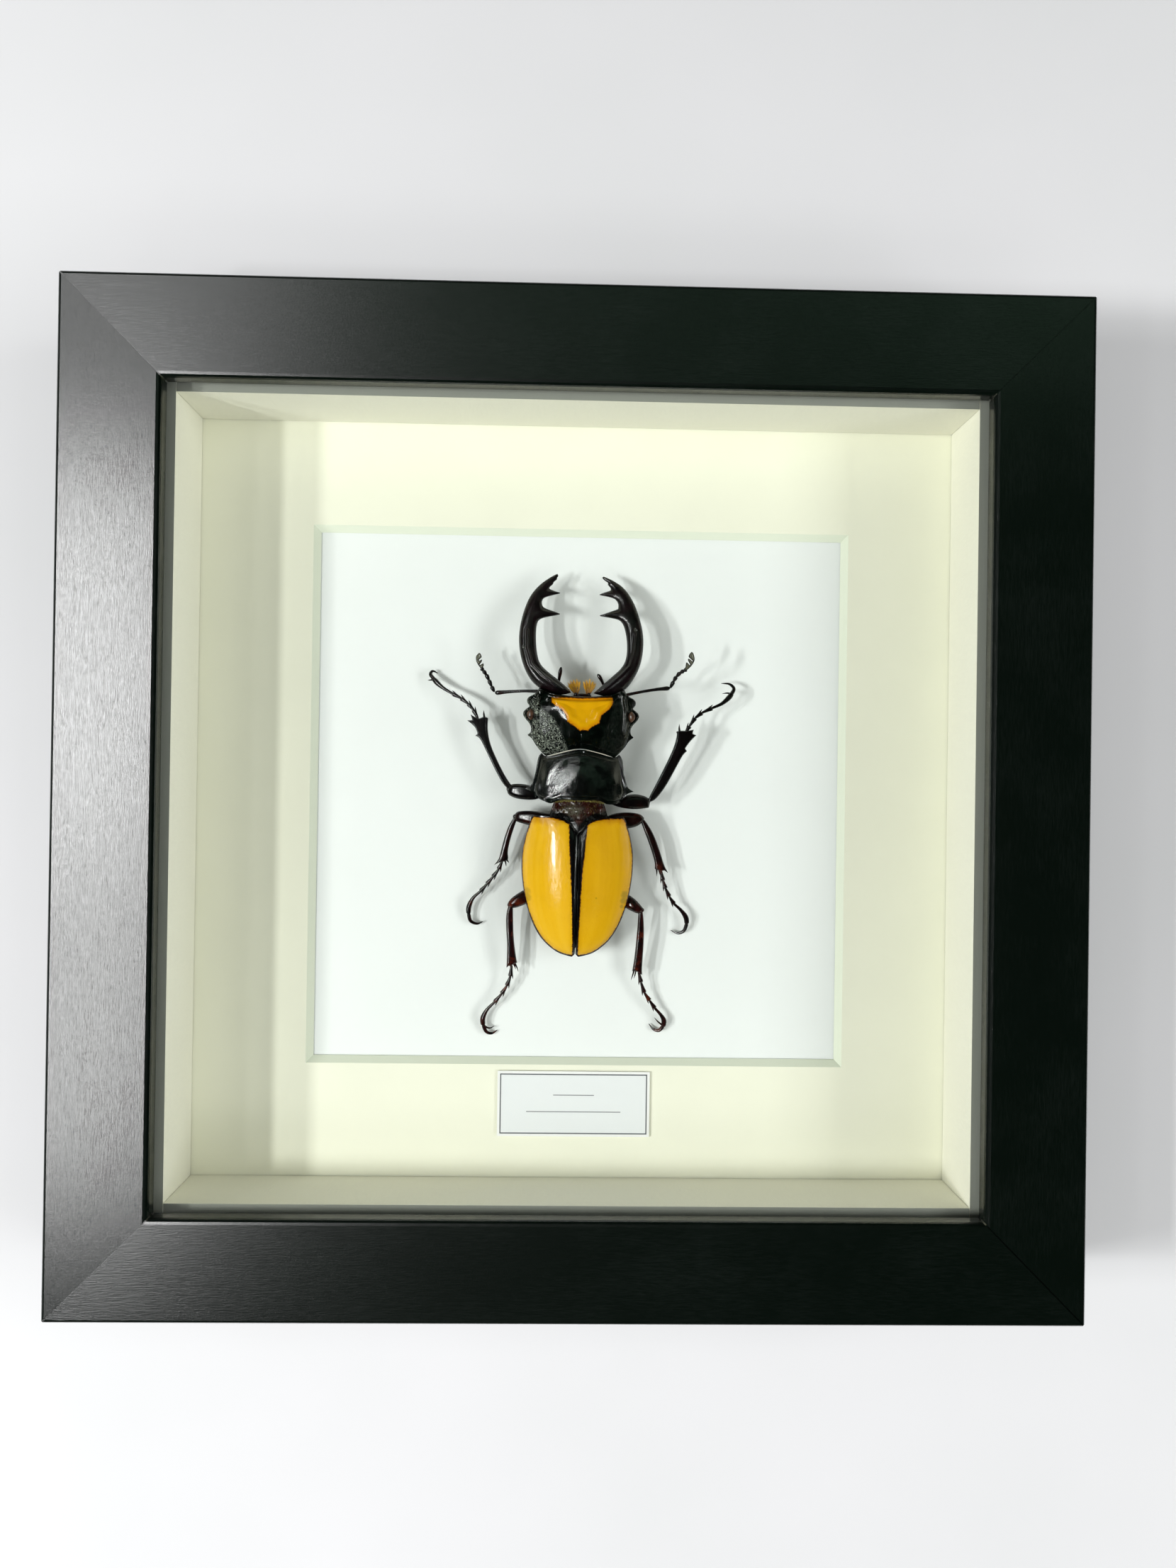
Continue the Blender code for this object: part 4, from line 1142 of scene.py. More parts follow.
@dataclass(frozen=True)
class JawCuticle:
    """Satin black with a purple-brown tint, greyer in random patches, with a pale dented spot.

    Attributes:
        name: The material's name.
        chip_and_glint: The middle of the pale dented spot, in the insect's millimetres; on the left jaw the
            cuticle is chipped there, on the right jaw the spot is a painted highlight.
        bare: The pale spot's colour.
    """

    name: str
    chip_and_glint: Triple
    black: Colour = (0.0015, 0.0012, 0.0014)
    brown: Colour = (0.0065, 0.0025, 0.0035)
    grey: Colour = (0.011, 0.012, 0.0095)
    bare: Colour = (0.05, 0.055, 0.04)

    def build(self) -> Material:
        """The material."""
        r = Recipe(self.name)
        cloud = r.noise(0.35, 4.0)
        grain = r.noise(6.0, 4.0)
        colour = r.blend(r.span(cloud, 0.38, 0.62), self.black, self.brown)
        patch = r.times(r.span(r.noise(0.5, 2.0), 0.5, 0.7), r.span(grain, 0.4, 0.7))
        colour = r.blend(r.times(patch, 0.7), colour, self.grey)
        # A pale dented spot: chipped cuticle on the left jaw, a painted highlight on the right jaw
        centre = PLACE.to_frame(np.array([self.chip_and_glint]))[0] / MM
        away = r.sum("MULTIPLY_ADD", r.noise(3.0, 3.0), 0.8, r.far_from(centre))
        near = r.fall(away, 0.6, 0.95, 0.7)
        colour = r.blend(near, colour, self.bare)
        roughness = r.span(grain, 0.3, 0.7, 0.2, 0.27)
        normal = r.bump(grain, 0.025, 0.6, r.bump(r.noise(1.6, 3.0), 0.04, 0.5))
        normal = r.bump(near, -0.25, 0.7, normal)
        return r.shade(colour, roughness, normal, IOR=1.5, Specular_IOR_Level=0.4)


@dataclass(frozen=True)
class LegCuticle:
    """Glossy shell between black and red-brown, with long streaks.

    Attributes:
        name: The material's name.
        red: How much red-brown shows, from 0 to 1.
        gloss: Lowest and highest roughness.
    """

    name: str
    red: float = 0.4
    gloss: Pair = (0.13, 0.22)
    black: Colour = (0.0010, 0.0009, 0.0010)
    brown: Colour = (0.024, 0.003, 0.003)
    amber: Colour = (0.10, 0.014, 0.004)
    olive: Colour = (0.10, 0.10, 0.065)

    def build(self) -> Material:
        """The material."""
        r = Recipe(self.name)
        streak = r.noise(1.0, 3.0, 0.4, (2.4, 0.35, 1.0))
        cloud = r.noise(0.4, 3.0)
        grain = r.noise(5.0, 4.0)
        share = r.times(r.span(streak, 0.38, 0.66), self.red)
        colour = r.blend(share, self.black, self.brown)
        glow = r.times(r.span(cloud, 0.56, 0.72), self.red)
        colour = r.blend(glow, colour, self.amber)
        colour = r.blend(r.span(r.value("leaf"), 0.1, 0.24), colour, self.olive)
        roughness = r.span(grain, 0.3, 0.7, *self.gloss)
        normal = r.bump(grain, 0.018, 0.5, r.bump(streak, 0.05, 0.4))
        return r.shade(colour, roughness, normal, IOR=1.5, Specular_IOR_Level=0.45)


@dataclass(frozen=True)
class WaistCuticle:
    """The waist's shell: red-brown sides, grey in its middle as a painted highlight, black behind."""

    brown: Colour = (0.034, 0.005, 0.003)
    grey: Colour = (0.12, 0.12, 0.085)
    black: Colour = (0.0015, 0.0013, 0.0012)

    def build(self) -> Material:
        """The material, which reads how far each place is in front of the black band."""
        r = Recipe("waist_cuticle")
        cloud = r.noise(0.9, 4.0)
        grain = r.noise(1.0, 4.0, where=(4.0, 1.2, 4.0))
        colour = r.blend(r.span(cloud, 0.35, 0.65), [c * 0.35 for c in self.brown], self.brown)
        # The grey in the middle, mottled by grain, is a painted highlight
        colour = r.blend(r.times(r.value("middle"), r.span(grain, 0.3, 0.6)), colour, self.grey)
        colour = r.blend(r.value("band"), colour, self.black)
        roughness = r.span(grain, 0.3, 0.7, 0.2, 0.4)
        return r.shade(colour, roughness, r.bump(grain, 0.03, 0.5), IOR=1.5)


@dataclass(frozen=True)
class EyeFacets:
    """A dull brown eye with fine facets."""

    brown: Colour = (0.10, 0.045, 0.025)
    dark: Colour = (0.015, 0.008, 0.006)

    def build(self) -> Material:
        """The material."""
        r = Recipe("eye_facets")
        facets = r.cells(11.0)
        cloud = r.noise(1.2, 3.0)
        colour = r.blend(r.span(cloud, 0.3, 0.65), self.dark, self.brown)
        return r.shade(colour, 0.28, r.bump(facets, 0.02, 0.5), IOR=1.5, Coat_Weight=0.4, Coat_Roughness=0.15)


@dataclass(frozen=True)
class GoldenHair:
    """Stiff golden hair, darker at its root.

    Attributes:
        name: The material's name.
        root: Colour at the root.
        tip: Colour at the tip.
    """

    name: str
    root: Colour
    tip: Colour

    def build(self) -> Material:
        """The material, which reads how far along its hair each place is."""
        r = Recipe(self.name)
        cloud = r.noise(2.0, 2.0)
        colour = r.blend(r.span(r.value("reach"), 0.0, 0.7), self.root, self.tip)
        colour = r.blend(r.span(cloud, 0.4, 0.7, 0.0, 0.4), colour, self.root)
        return r.shade(colour, r.span(cloud, 0.3, 0.7, 0.4, 0.6), Specular_IOR_Level=0.4, Sheen_Weight=0.3)


# The box frame


RAILS = {"top": Grain.ALONG_X, "bottom": Grain.ALONG_X, "left": Grain.ALONG_Y, "right": Grain.ALONG_Y}


@dataclass
class BoxFrame:
    """The moulding, glass, boards and fixings, which keep their solids.

    Attributes:
        gap: How wide the filler between two rails is, in millimetres.
    """

    gap: float = 0.34

    def coat(self, finish: Material, *nodes: str) -> None:
        """Gives solids of the frame a finish."""
        for name in nodes:
            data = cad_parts[name].data
            data.materials.clear()
            data.materials.append(finish)
            log.info("%s: %s", name, finish.name)

    def joints(self, finish: Material) -> None:
        """Dark glue and filler in the gaps where the rails meet, a little below their faces."""
        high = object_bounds()[1]
        inner = abs(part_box("rail_left")[1].x)
        away, reach = (high.x + inner) / math.sqrt(2), (high.x - inner) * math.sqrt(2)
        width, lip = self.gap * MM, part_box("glass")[1].z
        pieces = []
        for turn in (math.radians(degrees) for degrees in (45, 135, 225, 315)):
            middle = (away * math.cos(turn), away * math.sin(turn), (lip + high.z) / 2)
            let_go()
            bpy.ops.mesh.primitive_cube_add(size=1.0, location=middle, rotation=(0, 0, turn))
            bpy.context.object.scale = (reach - 0.8 * MM, width, high.z - lip - 0.5 * MM)
            bpy.ops.object.transform_apply(location=True, rotation=True, scale=True)
            pieces.append(bpy.context.object)
        hand_over(join("mitre_filler", pieces), finish, "black_moulding")

    def dress(self) -> None:
        """Finishes every solid of the frame."""
        blacks = {grain: BlackMoulding(grain).build() for grain in Grain}
        for side, grain in RAILS.items():
            self.coat(blacks[grain], f"rail_{side}")
        self.joints(blacks[Grain.ALONG_X])
        self.coat(PaneGlass().build(), "glass")
        self.coat(SpacerBoard().build(), *(f"spacer_{side}" for side in RAILS))
        self.coat(MountPaper().build(), "mount_board")
        self.coat(SpecimenBoard().build(), "specimen_board")
        self.coat(Hardboard().build(), "back_board")
        tabs = [f"tab_{side}_{end}" for side in RAILS for end in "ab"]
        self.coat(ZincSteel().build(), "hanger", "hanger_rivet_left", "hanger_rivet_right", *tabs)
        low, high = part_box("label")
        middle = ((low + high) / 2 / MM)[:2]
        size = ((high - low) / MM)[:2]
        self.coat(LabelCard(tuple(middle), tuple(size)).build(), "label")


# The insect


@dataclass
class Head:
    """The wide flat head with its rimmed front, lobed sides, amber patch and eyes.

    Attributes:
        sides: Rows of y and how far each side stands from the axis.
        rear: Its rear edge, as in Plate.
        front: Its front edge, as in Plate.
        rows: Its dome, as in Plate.
        patch: The amber patch's outline.
        patch_floor: The patch stays above this height.
        cheek_edge: Rows of y and how far from the axis the left cheek's wrinkles begin.
        right_cheek_highlight: How much of the wrinkles' pale paint, a painted highlight, shows on the right
            cheek, which lies in shade.
        eye: The right eye's middle from the axis.
    """

    sides: Pairs = (
        (15.9, 7.2), (16.2, 7.7), (16.9, 8.4), (18.2, 9.5), (19.3, 10.2), (19.8, 10.65), (20.25, 11.25),
        (20.7, 10.8), (21.2, 10.6), (22.2, 10.7), (22.9, 11.1), (23.5, 11.65), (24.1, 12.1), (24.8, 12.3),
        (25.4, 12.05), (25.9, 11.5), (26.3, 11), (26.7, 11.2), (27.1, 11.48), (27.5, 11.55), (28, 11.4),
        (28.4, 11), (28.8, 10.25), (29.2, 9.65), (29.7, 9.35), (30.3, 9.05),
    )
    rear: Pairs = (
        (-6.9, 15.9), (-5.1, 16.4), (-2.6, 17.1), (0.1, 17.6), (3.7, 17), (6.2, 16.35), (7.5, 15.9),
    )
    front: Pairs = (
        (-8.75, 30.3), (-8, 30.1), (-6.6, 29.4), (-4.6, 28.95), (-2, 28.65), (0.3, 28.6), (2.6, 28.65),
        (5.2, 28.95), (7.2, 29.4), (8.6, 30.1), (9.35, 30.3),
    )
    rows: Fours = (
        (15.9, 7.4, 8.2, 7), (16.9, 8.5, 8.8, 7.1), (18.2, 9.4, 9.3, 7.2), (19.8, 10.1, 9.8, 7.4),
        (21.3, 10.4, 10, 7.6), (23, 10.6, 10, 7.8), (24.8, 10.9, 9.9, 7.9), (26.7, 10.7, 9.75, 7.9),
        (28.2, 10.2, 9.6, 8), (29.2, 9.6, 9.4, 8.1), (30.3, 8.9, 9.2, 8),
    )
    patch: Pairs = (
        (-6.1, 28.3), (0.4, 28.2), (6.8, 28.5), (7, 28), (6.8, 26.9), (6.1, 25.9), (4.6, 24.7), (4.3, 23.9),
        (4.1, 23), (2.8, 22.3), (1.8, 21.4), (0.8, 21.5), (0.1, 21.3), (-1.1, 22.2), (-2.6, 23.2), (-3, 24.6),
        (-4, 25.8), (-5.3, 26.5), (-6, 27.2),
    )
    patch_floor: float = 8.4
    cheek_edge: Pairs = ((17.0, 2.3), (21.2, 4.0), (23.9, 5.6), (26.5, 8.6))
    right_cheek_highlight: float = 0.03
    eye: Triple = (10.6, 24.6, 8.1)

    def cheek(self, x: Array, y: Array) -> Array:
        """How wrinkled the head is: its sides, behind the front corners.

        Args:
            x: From the axis, in millimetres.
            y: Along the body.

        Returns:
            From 0 to 1 for each place.
        """
        inner = np.where(x < 0, np.interp(y, *zip(*self.cheek_edge)), 3.2 + (y - 17.0) * 0.34)
        return rise(np.abs(x) - inner, 0.0, 0.6) * rise(y, 15.9, 16.6) * (1 - rise(y, 27.0, 28.4))

    def relief(self, places: Array, inside: Array) -> Array:
        """How far the plain dome is raised or sunk.

        Args:
            places: Places from the axis, in millimetres.
            inside: How far each lies inside the outline.

        Returns:
            One height for each, in millimetres.
        """
        x, y = places[:, 0], places[:, 1]
        side = np.abs(x)
        front = np.interp(x + AXIS, *zip(*self.front)) - y
        middle = 1 - rise(side, 8.4, 9.2)
        rim = (0.4 * hill(front, 0.28, 0.17) - 0.32 * hill(front, 0.85, 0.25)) * middle
        knobs = 0.55 * mound(side - 8.5, y - 29.6, 0.45, 0.45)
        brow = 0.5 * hill(side, 8.9 + 0.5 * np.sin((y - 20) / 3), 0.24)
        brow *= rise(y, 20.5, 22.0) * (1 - rise(y, 28.2, 29.2))
        hollow = -0.5 * mound(side - 7.4, y - 27.6, 1.8, 1.4)
        border = from_outline(places + [AXIS, 0, 0], self.patch)
        crest = 0.42 * hill(border, -0.7, 0.75) * rise(y, 22.6, 24.4) * (1 - rise(y, 27.6, 28.4))
        frons = -0.28 * rise(-border, 0.6, 2.6)
        neck = 0.35 * hill(side, 0.0, 2.2) * hill(y, 19.5, 1.1)
        seam = -0.1 * hill(x, 0.0, 0.09) * (1 - rise(y, 20.3, 21.0))
        cheek = self.cheek(x, y)
        swell = 0.35 * mound(side - 7.6, y - 21.5, 3.5, 7.0)
        worms = 1 - np.minimum(np.abs(rough(places * [1, 1, 0], 1.55, 3.7)) * 5.5, 1)
        wrinkle = 0.05 * worms * cheek * (1 - rise(side, 10.2, 10.9))
        sockets = -0.55 * mound(side - self.eye[0], y - self.eye[1], 0.9, 0.9)
        lobes = 0.32 * hill(inside, 0.24, 0.14) * rise(side, 9.6, 10.3) * rise(y, 21.5, 22.5)
        grain = 0.03 * rough(places * [1, 1, 0], 0.9, 7.0)
        form = rim + knobs + brow + hollow + crest + frons + neck + seam
        return form + swell + wrinkle + sockets + lobes + grain

    def build(self) -> None:
        """The head and its two eyes."""
        left, right = ([(y, AXIS + side * half) for y, half in self.sides] for side in (-1, 1))
        plate = Plate(left, right, self.rear, self.front, self.rows, columns=260, lines=180)
        piece = plate.build("head_shell", self.relief)
        places = points_of(piece)
        # Below its floor, every place counts as far outside the patch
        below = places[:, 2] < self.patch_floor
        mark(piece, "patch", from_outline(places, self.patch) + below * 5.0)
        # The wrinkles' pale paint is a painted highlight: full on the lit left cheek, almost none on the
        # shaded right one
        highlight_side = np.where(places[:, 0] < plate.axis, 1.0, self.right_cheek_highlight)
        mark(piece, "cheek", highlight_side * self.cheek(places[:, 0] - plate.axis, places[:, 1]))
        finish = HeadCuticle("head_cuticle", pits=4.0, pit_depth=0.008, gloss=(0.12, 0.18)).build()
        hand_over(piece, finish, "black_shell", "head")
        facets = EyeFacets().build()
        for side, name in SIDES:
            x, y, z = AXIS + side * self.eye[0], *self.eye[1:]
            path = ((x, y - 1.15, z), (x + side * 0.1, y, z + 0.1), (x, y + 1.15, z))
            eye = Limb(path, (0.5, 0.78, 0.5), (0.5, 0.7, 0.5), 28, 0.07, (0.4, 0.4)).build(f"{name}_eye")
            hand_over(smooth(eye), facets, "brown_eye", f"eye_{name}")


@dataclass
class Pronotum:
    """The shield behind the head, with a spine at each rear corner and rims at both ends.

    Its outline and its dome are given as in Plate.
    """

    left: Pairs = (
        (6.65, -7.83), (6.94, -8.57), (7.87, -9.54), (8.4, -10.2), (8.68, -10.7), (8.88, -11.15),
        (9.1, -10.65), (9.4, -10.2), (9.75, -9.91), (11.03, -9.41), (12.73, -9.03), (14, -8.85),
        (15.06, -8.67), (16.12, -8.28), (16.55, -7.87),
    )
    right: Pairs = (
        (6.3, 8.9), (7.08, 9.46), (7.7, 10.1), (8.37, 10.75), (8.62, 11.3), (8.82, 11.85), (9, 11.4),
        (9.25, 11), (9.7, 10.6), (10.68, 10.22), (12.36, 9.76), (14.04, 9.5), (15.52, 9.25), (16.2, 8.9),
        (16.56, 8.59),
    )
    rear: Pairs = (
        (-7.83, 6.65), (-6.97, 6.24), (-5.6, 5.9), (-4.7, 6.25), (-3.61, 6.65), (-0.47, 6.59), (1.84, 6.66),
        (4.56, 6.7), (5.5, 6.25), (6.3, 5.96), (7.6, 5.98), (8.9, 6.3),
    )
    front: Pairs = (
        (-7.87, 16.55), (-7.45, 16.08), (-6.78, 15.88), (-5.11, 16.18), (-2.61, 16.87), (0.11, 17.36),
        (3.7, 16.83), (6.25, 16.16), (7.4, 15.98), (8.1, 16.15), (8.59, 16.56),
    )
    rows: Fours = (
        (6.3, 8, 9.6, 7.8), (7, 8.7, 10.4, 7.9), (8.4, 9.3, 10.9, 8), (9.3, 9.4, 11, 8), (10, 9.3, 11, 8),
        (11.2, 9.1, 11, 7.9), (12.7, 8.9, 10.8, 7.8), (14, 8.7, 10.4, 7.7), (15.1, 8.5, 9.9, 7.6),
        (16.2, 8.1, 9.2, 7.6), (16.65, 7.8, 8.7, 7.5),
    )

    def relief(self, places: Array, inside: Array) -> Array:
        """How far the plain dome is raised or sunk, as in Head."""
        x, y = places[:, 0], places[:, 1]
        side = np.abs(x)
        front = np.interp(x + AXIS, *zip(*self.front)) - y
        rear = y - np.interp(x + AXIS, *zip(*self.rear))
        rims = 0.18 * hill(front, 0.22, 0.1) * rise(side, 0.5, 0.9) - 0.15 * hill(front, 0.6, 0.18)
        rims += 0.2 * hill(rear, 0.22, 0.11) + 0.16 * hill(rear, 0.85, 0.14) - 0.22 * hill(rear, 0.52, 0.12)
        across = 0.726 * (side - 1.9) + 0.687 * (y - 12.7)
        slope = 0.32 * rise(across, 1.2, 3.2) - 0.34 * rise(across, -1.6, 1.5)
        slope *= rise(y, 6.6, 7.6) * (1 - rise(y, 14.6, 16.0))
        slope += 0.12 * rise(side, 3.8, 5.6) * hill(y, 9.2, 1.3)
        slope -= 0.12 * rise(side, 0.6, 2.8) * hill(y, 12.2, 1.3)
        flank = 0.25 * hill(inside, 0.2, 0.12) * rise(side, 8.0, 8.6) * rise(y, 9.2, 9.8)
        dish = -0.35 * mound(side - 8.2, y - 11.5, 0.7, 9.0)
        uneven = 0.03 * rough(places * [1, 1, 0], 0.8, 5.0)
        return rims + slope + flank + dish + uneven

    def build(self) -> None:
        """The shield."""
        edges = self.left, self.right, self.rear, self.front
        form = Plate(*edges, self.rows, columns=220, lines=150, power=2.1, floor=(2.6, 7.2))
        piece = form.build("pronotum_shell", self.relief)
        finish = BlackCuticle("pronotum_cuticle", pits=4.5, pit_depth=0.018, gloss=(0.15, 0.21), level=0.85)
        hand_over(piece, finish.build(), "black_shell", "pronotum")


@dataclass
class Waist:
    """The narrow waist, and the small black shield that points between the wing cases.

    The outlines and domes of both are given as in Plate.
    """

    left: Pairs = ((3.3, -5.9), (3.7, -5.8), (4.7, -5.5), (5.4, -5.3), (6.0, -5.1), (7.2, -5.0))
    right: Pairs = ((3.3, 6.5), (3.7, 6.4), (4.7, 6.1), (5.4, 5.9), (6.0, 5.7), (7.2, 5.6))
    rear: Pairs = (
        (-5.9, 3.3), (-4, 2.3), (-2, 1.15), (0.3, 0.7), (2.6, 1.15), (4.6, 2.3), (6.5, 3.3),
    )
    front: Pairs = ((-5.0, 7.2), (0.3, 7.4), (5.6, 7.2))
    rows: Fours = (
        (3.3, 6.1, 10, 7.2), (3.7, 6, 9.3, 6.8), (4.1, 5.8, 8.9, 6.6), (4.7, 5.6, 8.5, 6.4),
        (5.4, 5.4, 8.2, 6.2), (6.2, 5.3, 7.8, 6), (7.2, 5.3, 7.3, 5.8),
    )
    shield_left: Pairs = ((-0.45, 0.22), (0.1, -0.25), (0.8, -0.85), (1.5, -1.35), (2.1, -1.6))
    shield_right: Pairs = ((-0.45, 0.38), (0.1, 0.9), (0.8, 1.5), (1.5, 2.0), (2.1, 2.25))
    shield_rows: Fours = (
        (-0.45, 0.4, 10.45, 10.1), (0.3, 1.1, 10.65, 10.1), (1.2, 1.8, 10.6, 10), (2.1, 2.2, 10.2, 9.7),
    )
    shield_rear: Pairs = ((0.22, -0.45), (0.3, -0.5), (0.38, -0.45))
    shield_front: Pairs = ((-1.6, 2.1), (0.35, 2.5), (2.25, 2.1))
    shield_axis: float = 0.32

    def relief(self, places: Array, inside: Array) -> Array:
        """How far the plain dome is raised or sunk, as in Head."""
        x, y = places[:, 0], places[:, 1]
        fold = 0.25 * hill(y, 5.0, 0.3) - 0.25 * hill(y, 4.2 - 0.1 * np.abs(x), 0.3)
        pits = 0.12 * rough(places * [1, 1, 0], 1.5, 2.0)
        dents = -0.5 * mound(np.abs(x) - 3.9, y - 5.2, 0.5, 0.35)
        collar = 0.2 * hill(np.abs(x), 4.9, 0.2)
        return fold + pits + dents + collar

    def build(self) -> None:
        """The waist and its shield."""
        edges = self.left, self.right, self.rear, self.front
        form = Plate(*edges, self.rows, columns=110, lines=80, power=2.2, floor=(1.6, 4.0))
        body = form.build("waist_body", self.relief)
        edges = self.shield_left, self.shield_right, self.shield_rear, self.shield_front
        form = Plate(*edges, self.shield_rows, self.shield_axis, 40, 40, 2.0, (9.6, 9.8), 0.25)
        small = form.build("waist_shield", lambda places, inside: 0.12 * hill(inside, 0.12, 0.08))
        piece = join("waist", (body, small))
        x, y, _ = points_of(piece).T
        # The waist is black in a band before the wing cases' front edge
        wings = 3.2 * (1 - (1 - np.minimum(np.abs(x - AXIS), 9.6) / 9.6) ** 4) + 0.2
        mark(piece, "band", rise(wings + 1.2 - y, 0.0, 0.3))
        # Where the grey painted highlight lies, a little left of the middle
        mark(piece, "middle", mound(x + 0.9, y - 4.4, 3.0, 1.6))
        hand_over(piece, WaistCuticle().build(), "dark_shell", "mesothorax")


@dataclass
class WingCases:
    """The two domed wing cases, with black borders and a ridge along their seam.

    Attributes:
        rows: From front to tail: y at the rim, half width, y at the seam, height at the seam,
            height at the rim.
        axis: Where the seam lies.
        gap: How wide the seam is open.
        underside: How high the flat underside lies.
        band: Rows of y and the black seam band's width on the left and right case.
        spots: The left and the right case's marks, as WingCase takes them.
        right_shaded_amber: The right case's amber, darkened as painted shade for the side turned away from
            the light.
        right_shaded_pale: Its pale streaks, darkened as painted shade in the same way.
    """

    rows: tuple[tuple[float, ...], ...] = (
        (3.2, 9.6, 0, 10.4, 8.4), (2.5, 10.15, -0.8, 10.9, 7.4), (1.2, 10.55, -1.9, 11.3, 6.6),
        (-1, 11.25, -3.7, 11.75, 5.8), (-4.5, 11.9, -6.8, 12.05, 5.3), (-8, 11.95, -9.9, 12.1, 5.2),
        (-11.5, 11.6, -13, 11.85, 5.2), (-14.5, 11.05, -15.8, 11.4, 5.2), (-17.5, 10.2, -18.4, 10.75, 5.2),
        (-20.4, 9, -20.8, 9.9, 5.2), (-22.9, 7.45, -22.8, 8.9, 5.2), (-24.8, 5.55, -24.4, 7.8, 5.2),
        (-26, 3.75, -25.5, 6.8, 5.2), (-26.6, 2, -26, 6, 5.2), (-26.9, 0.8, -26.2, 5.6, 5.2),
    )
    axis: float = AXIS
    gap: float = 0.1
    underside: float = 4.9
    band: Triples = (
        (-27, 0.6, 0.6), (-21.9, 0.75, 0.62), (-17.2, 0.95, 0.75), (-13.4, 1.1, 0.85), (-10.6, 1.3, 0.98),
        (-7.8, 1.5, 1.1), (-4.5, 1.75, 1.45), (-1.2, 1.9, 1.65), (1.4, 2.05, 1.95), (4, 2.3, 2.2),
    )
    spots: tuple[Fours, Fours] = (
        ((-10.2, -12.8, 0.75, 0.5), (-10.1, -14.2, 0.8, 0.6)),
        ((10.5, -13.1, 0.75, 0.8), (10.3, -14.4, 0.7, 0.8), (9.9, -15.6, 0.4, 0.7), (4.35, -13.7, 0.17, 0.9)),
    )
    right_shaded_amber: Colour = (0.69, 0.35, 0.0)
    right_shaded_pale: Colour = (0.78, 0.43, 0.01)

    def surface(self, side: int) -> tuple[Shape, Shape]:
        """The surfaces of one wing case.

        Args:
            side: -1 for the left one, 1 for the right one.

        Returns:
            The upper and the lower surface.
        """

        def spread(u: Array, v: Array) -> tuple[Array, ...]:
            """Share of the width, x, y, half width, and the heights at the seam and at the rim."""
            edge_y, half, seam_y, crown, edge = through(self.rows, (1 - v) / 2).T
            out = 0.35 * (u + 1) / 2 + 0.65 * np.sin((u + 1) * math.pi / 4)
            x = self.gap / 2 + out * (half - self.gap / 2)
            y = edge_y + (seam_y - edge_y) * (1 - out) ** (4 - 2.5 * rise(-edge_y, 20.0, 26.0))
            return out, x, y, half, crown, edge

        def top(u: Array, v: Array) -> Array:
            """The dome, with a ridge at the seam, a bead at the rim and a swollen shoulder."""
            out, x, y, half, crown, edge = spread(u, v)
            z = edge + (crown - edge) * np.clip(1 - out**2.3, 0, 1) ** 0.57
            z += 0.14 * hill(x, 0.2, 0.09) - 0.05 * hill(x, 0.6, 0.22)
            z += 0.2 * hill((1 - out) * half, 0.16, 0.1)
            z += 0.12 * hill(x, 8.6, 0.8) * rise(y, -4.0, 0.0)
            return np.column_stack([self.axis + side * x, y, z])

        def under(u: Array, v: Array) -> Array:
            """The flat underside, which meets the dome all round."""
            found = top(u, v)
            found[:, 2] += (self.underside - found[:, 2]) * pinched(u, v, 20)
            return found

        return top, under

    def build(self) -> None:
        """Both wing cases."""
        for (side, name), spots in zip(SIDES, self.spots):
            top, under = self.surface(side)
            piece = shell(f"wing_case_{name}", 120, 200, top, under)
            places = points_of(piece)
            x, y, z = places.T
            from_seam = np.abs(x - self.axis)
            band = curve_at(self.band, y)[:, 0 if side < 0 else 1]
            lead = top(np.linspace(-1, 1, 60), np.ones(60))
            rim = top(np.ones(160), np.linspace(1, -1, 160))
            tail = top(np.linspace(1, -1, 20), -np.ones(20))
            depth = -from_outline(places, np.vstack([lead, rim, tail])[:, :2])
            # Next to the seam the outline's own depth doesn't count, and toward the tail the rim widens
            from_rim = np.where(from_seam < 0.6, 9.0, depth) - 0.33 - 0.1 * rise(-y, 14.0, 22.0)
            border = np.minimum(from_seam - band, from_rim)
            # The underside is all black
            mark(piece, "border", np.where((z < 5.6) & (depth > 1.0), -1.0, border))
            mark(piece, "along", y)
            # The right case's darker amber is painted shade, for the side turned away from the light
            right_shade_hues = {} if side < 0 else {"amber": self.right_shaded_amber, "pale": self.right_shaded_pale}
            finish = WingCase(f"wing_case_finish_{name}", spots, **right_shade_hues).build()
            hand_over(piece, finish, "amber_wing_case", f"elytron_{name}")


@dataclass
class Abdomen:
    """The underside of the body below the wing cases.

    Attributes:
        rings: From front to tail: y, half width and how low it reaches.
        top: How high its flat upper side lies.
        segment: How far its creases lie apart.
        dust: The colour of its dull parts.
    """

    rings: tuple[tuple[float, ...], ...] = (
        (0, 5, 1.6), (-2, 8.6, 0.8), (-6, 9.2, 0.3), (-10, 9.2, 0.3), (-14, 9.2, 0.3), (-19, 7.6, 0.6),
        (-23, 4.8, 1.6), (-25.2, 1.8, 3.2),
    )
    top: float = 4.6
    segment: float = 3.6
    dust: Colour = (0.04, 0.02, 0.014)

    def build(self) -> None:
        """The underside, with a crease between its segments."""
        path = [(AXIS, y, (self.top + low) / 2) for y, _, low in self.rings]
        wide = [half for _, half, _ in self.rings]
        high = [(self.top - low) / 2 for _, _, low in self.rings]
        body = Limb(path, wide, high, 72, 0.22, (0.05, 0.05)).build("underside")
        places = points_of(body)
        crease = hill(np.mod(places[:, 1], self.segment), self.segment / 2, 0.25)
        middle = np.array([AXIS, 0, 2.4])
        places += unit((places - middle) * [1, 0, 1]) * (-0.18 * crease)[:, None]
        put_points(body, places)
        finish = BlackCuticle("underside_cuticle", pits=5.0, gloss=(0.3, 0.45), dusty=self.dust).build()
        hand_over(smooth(body), finish, "dark_shell", "abdomen")


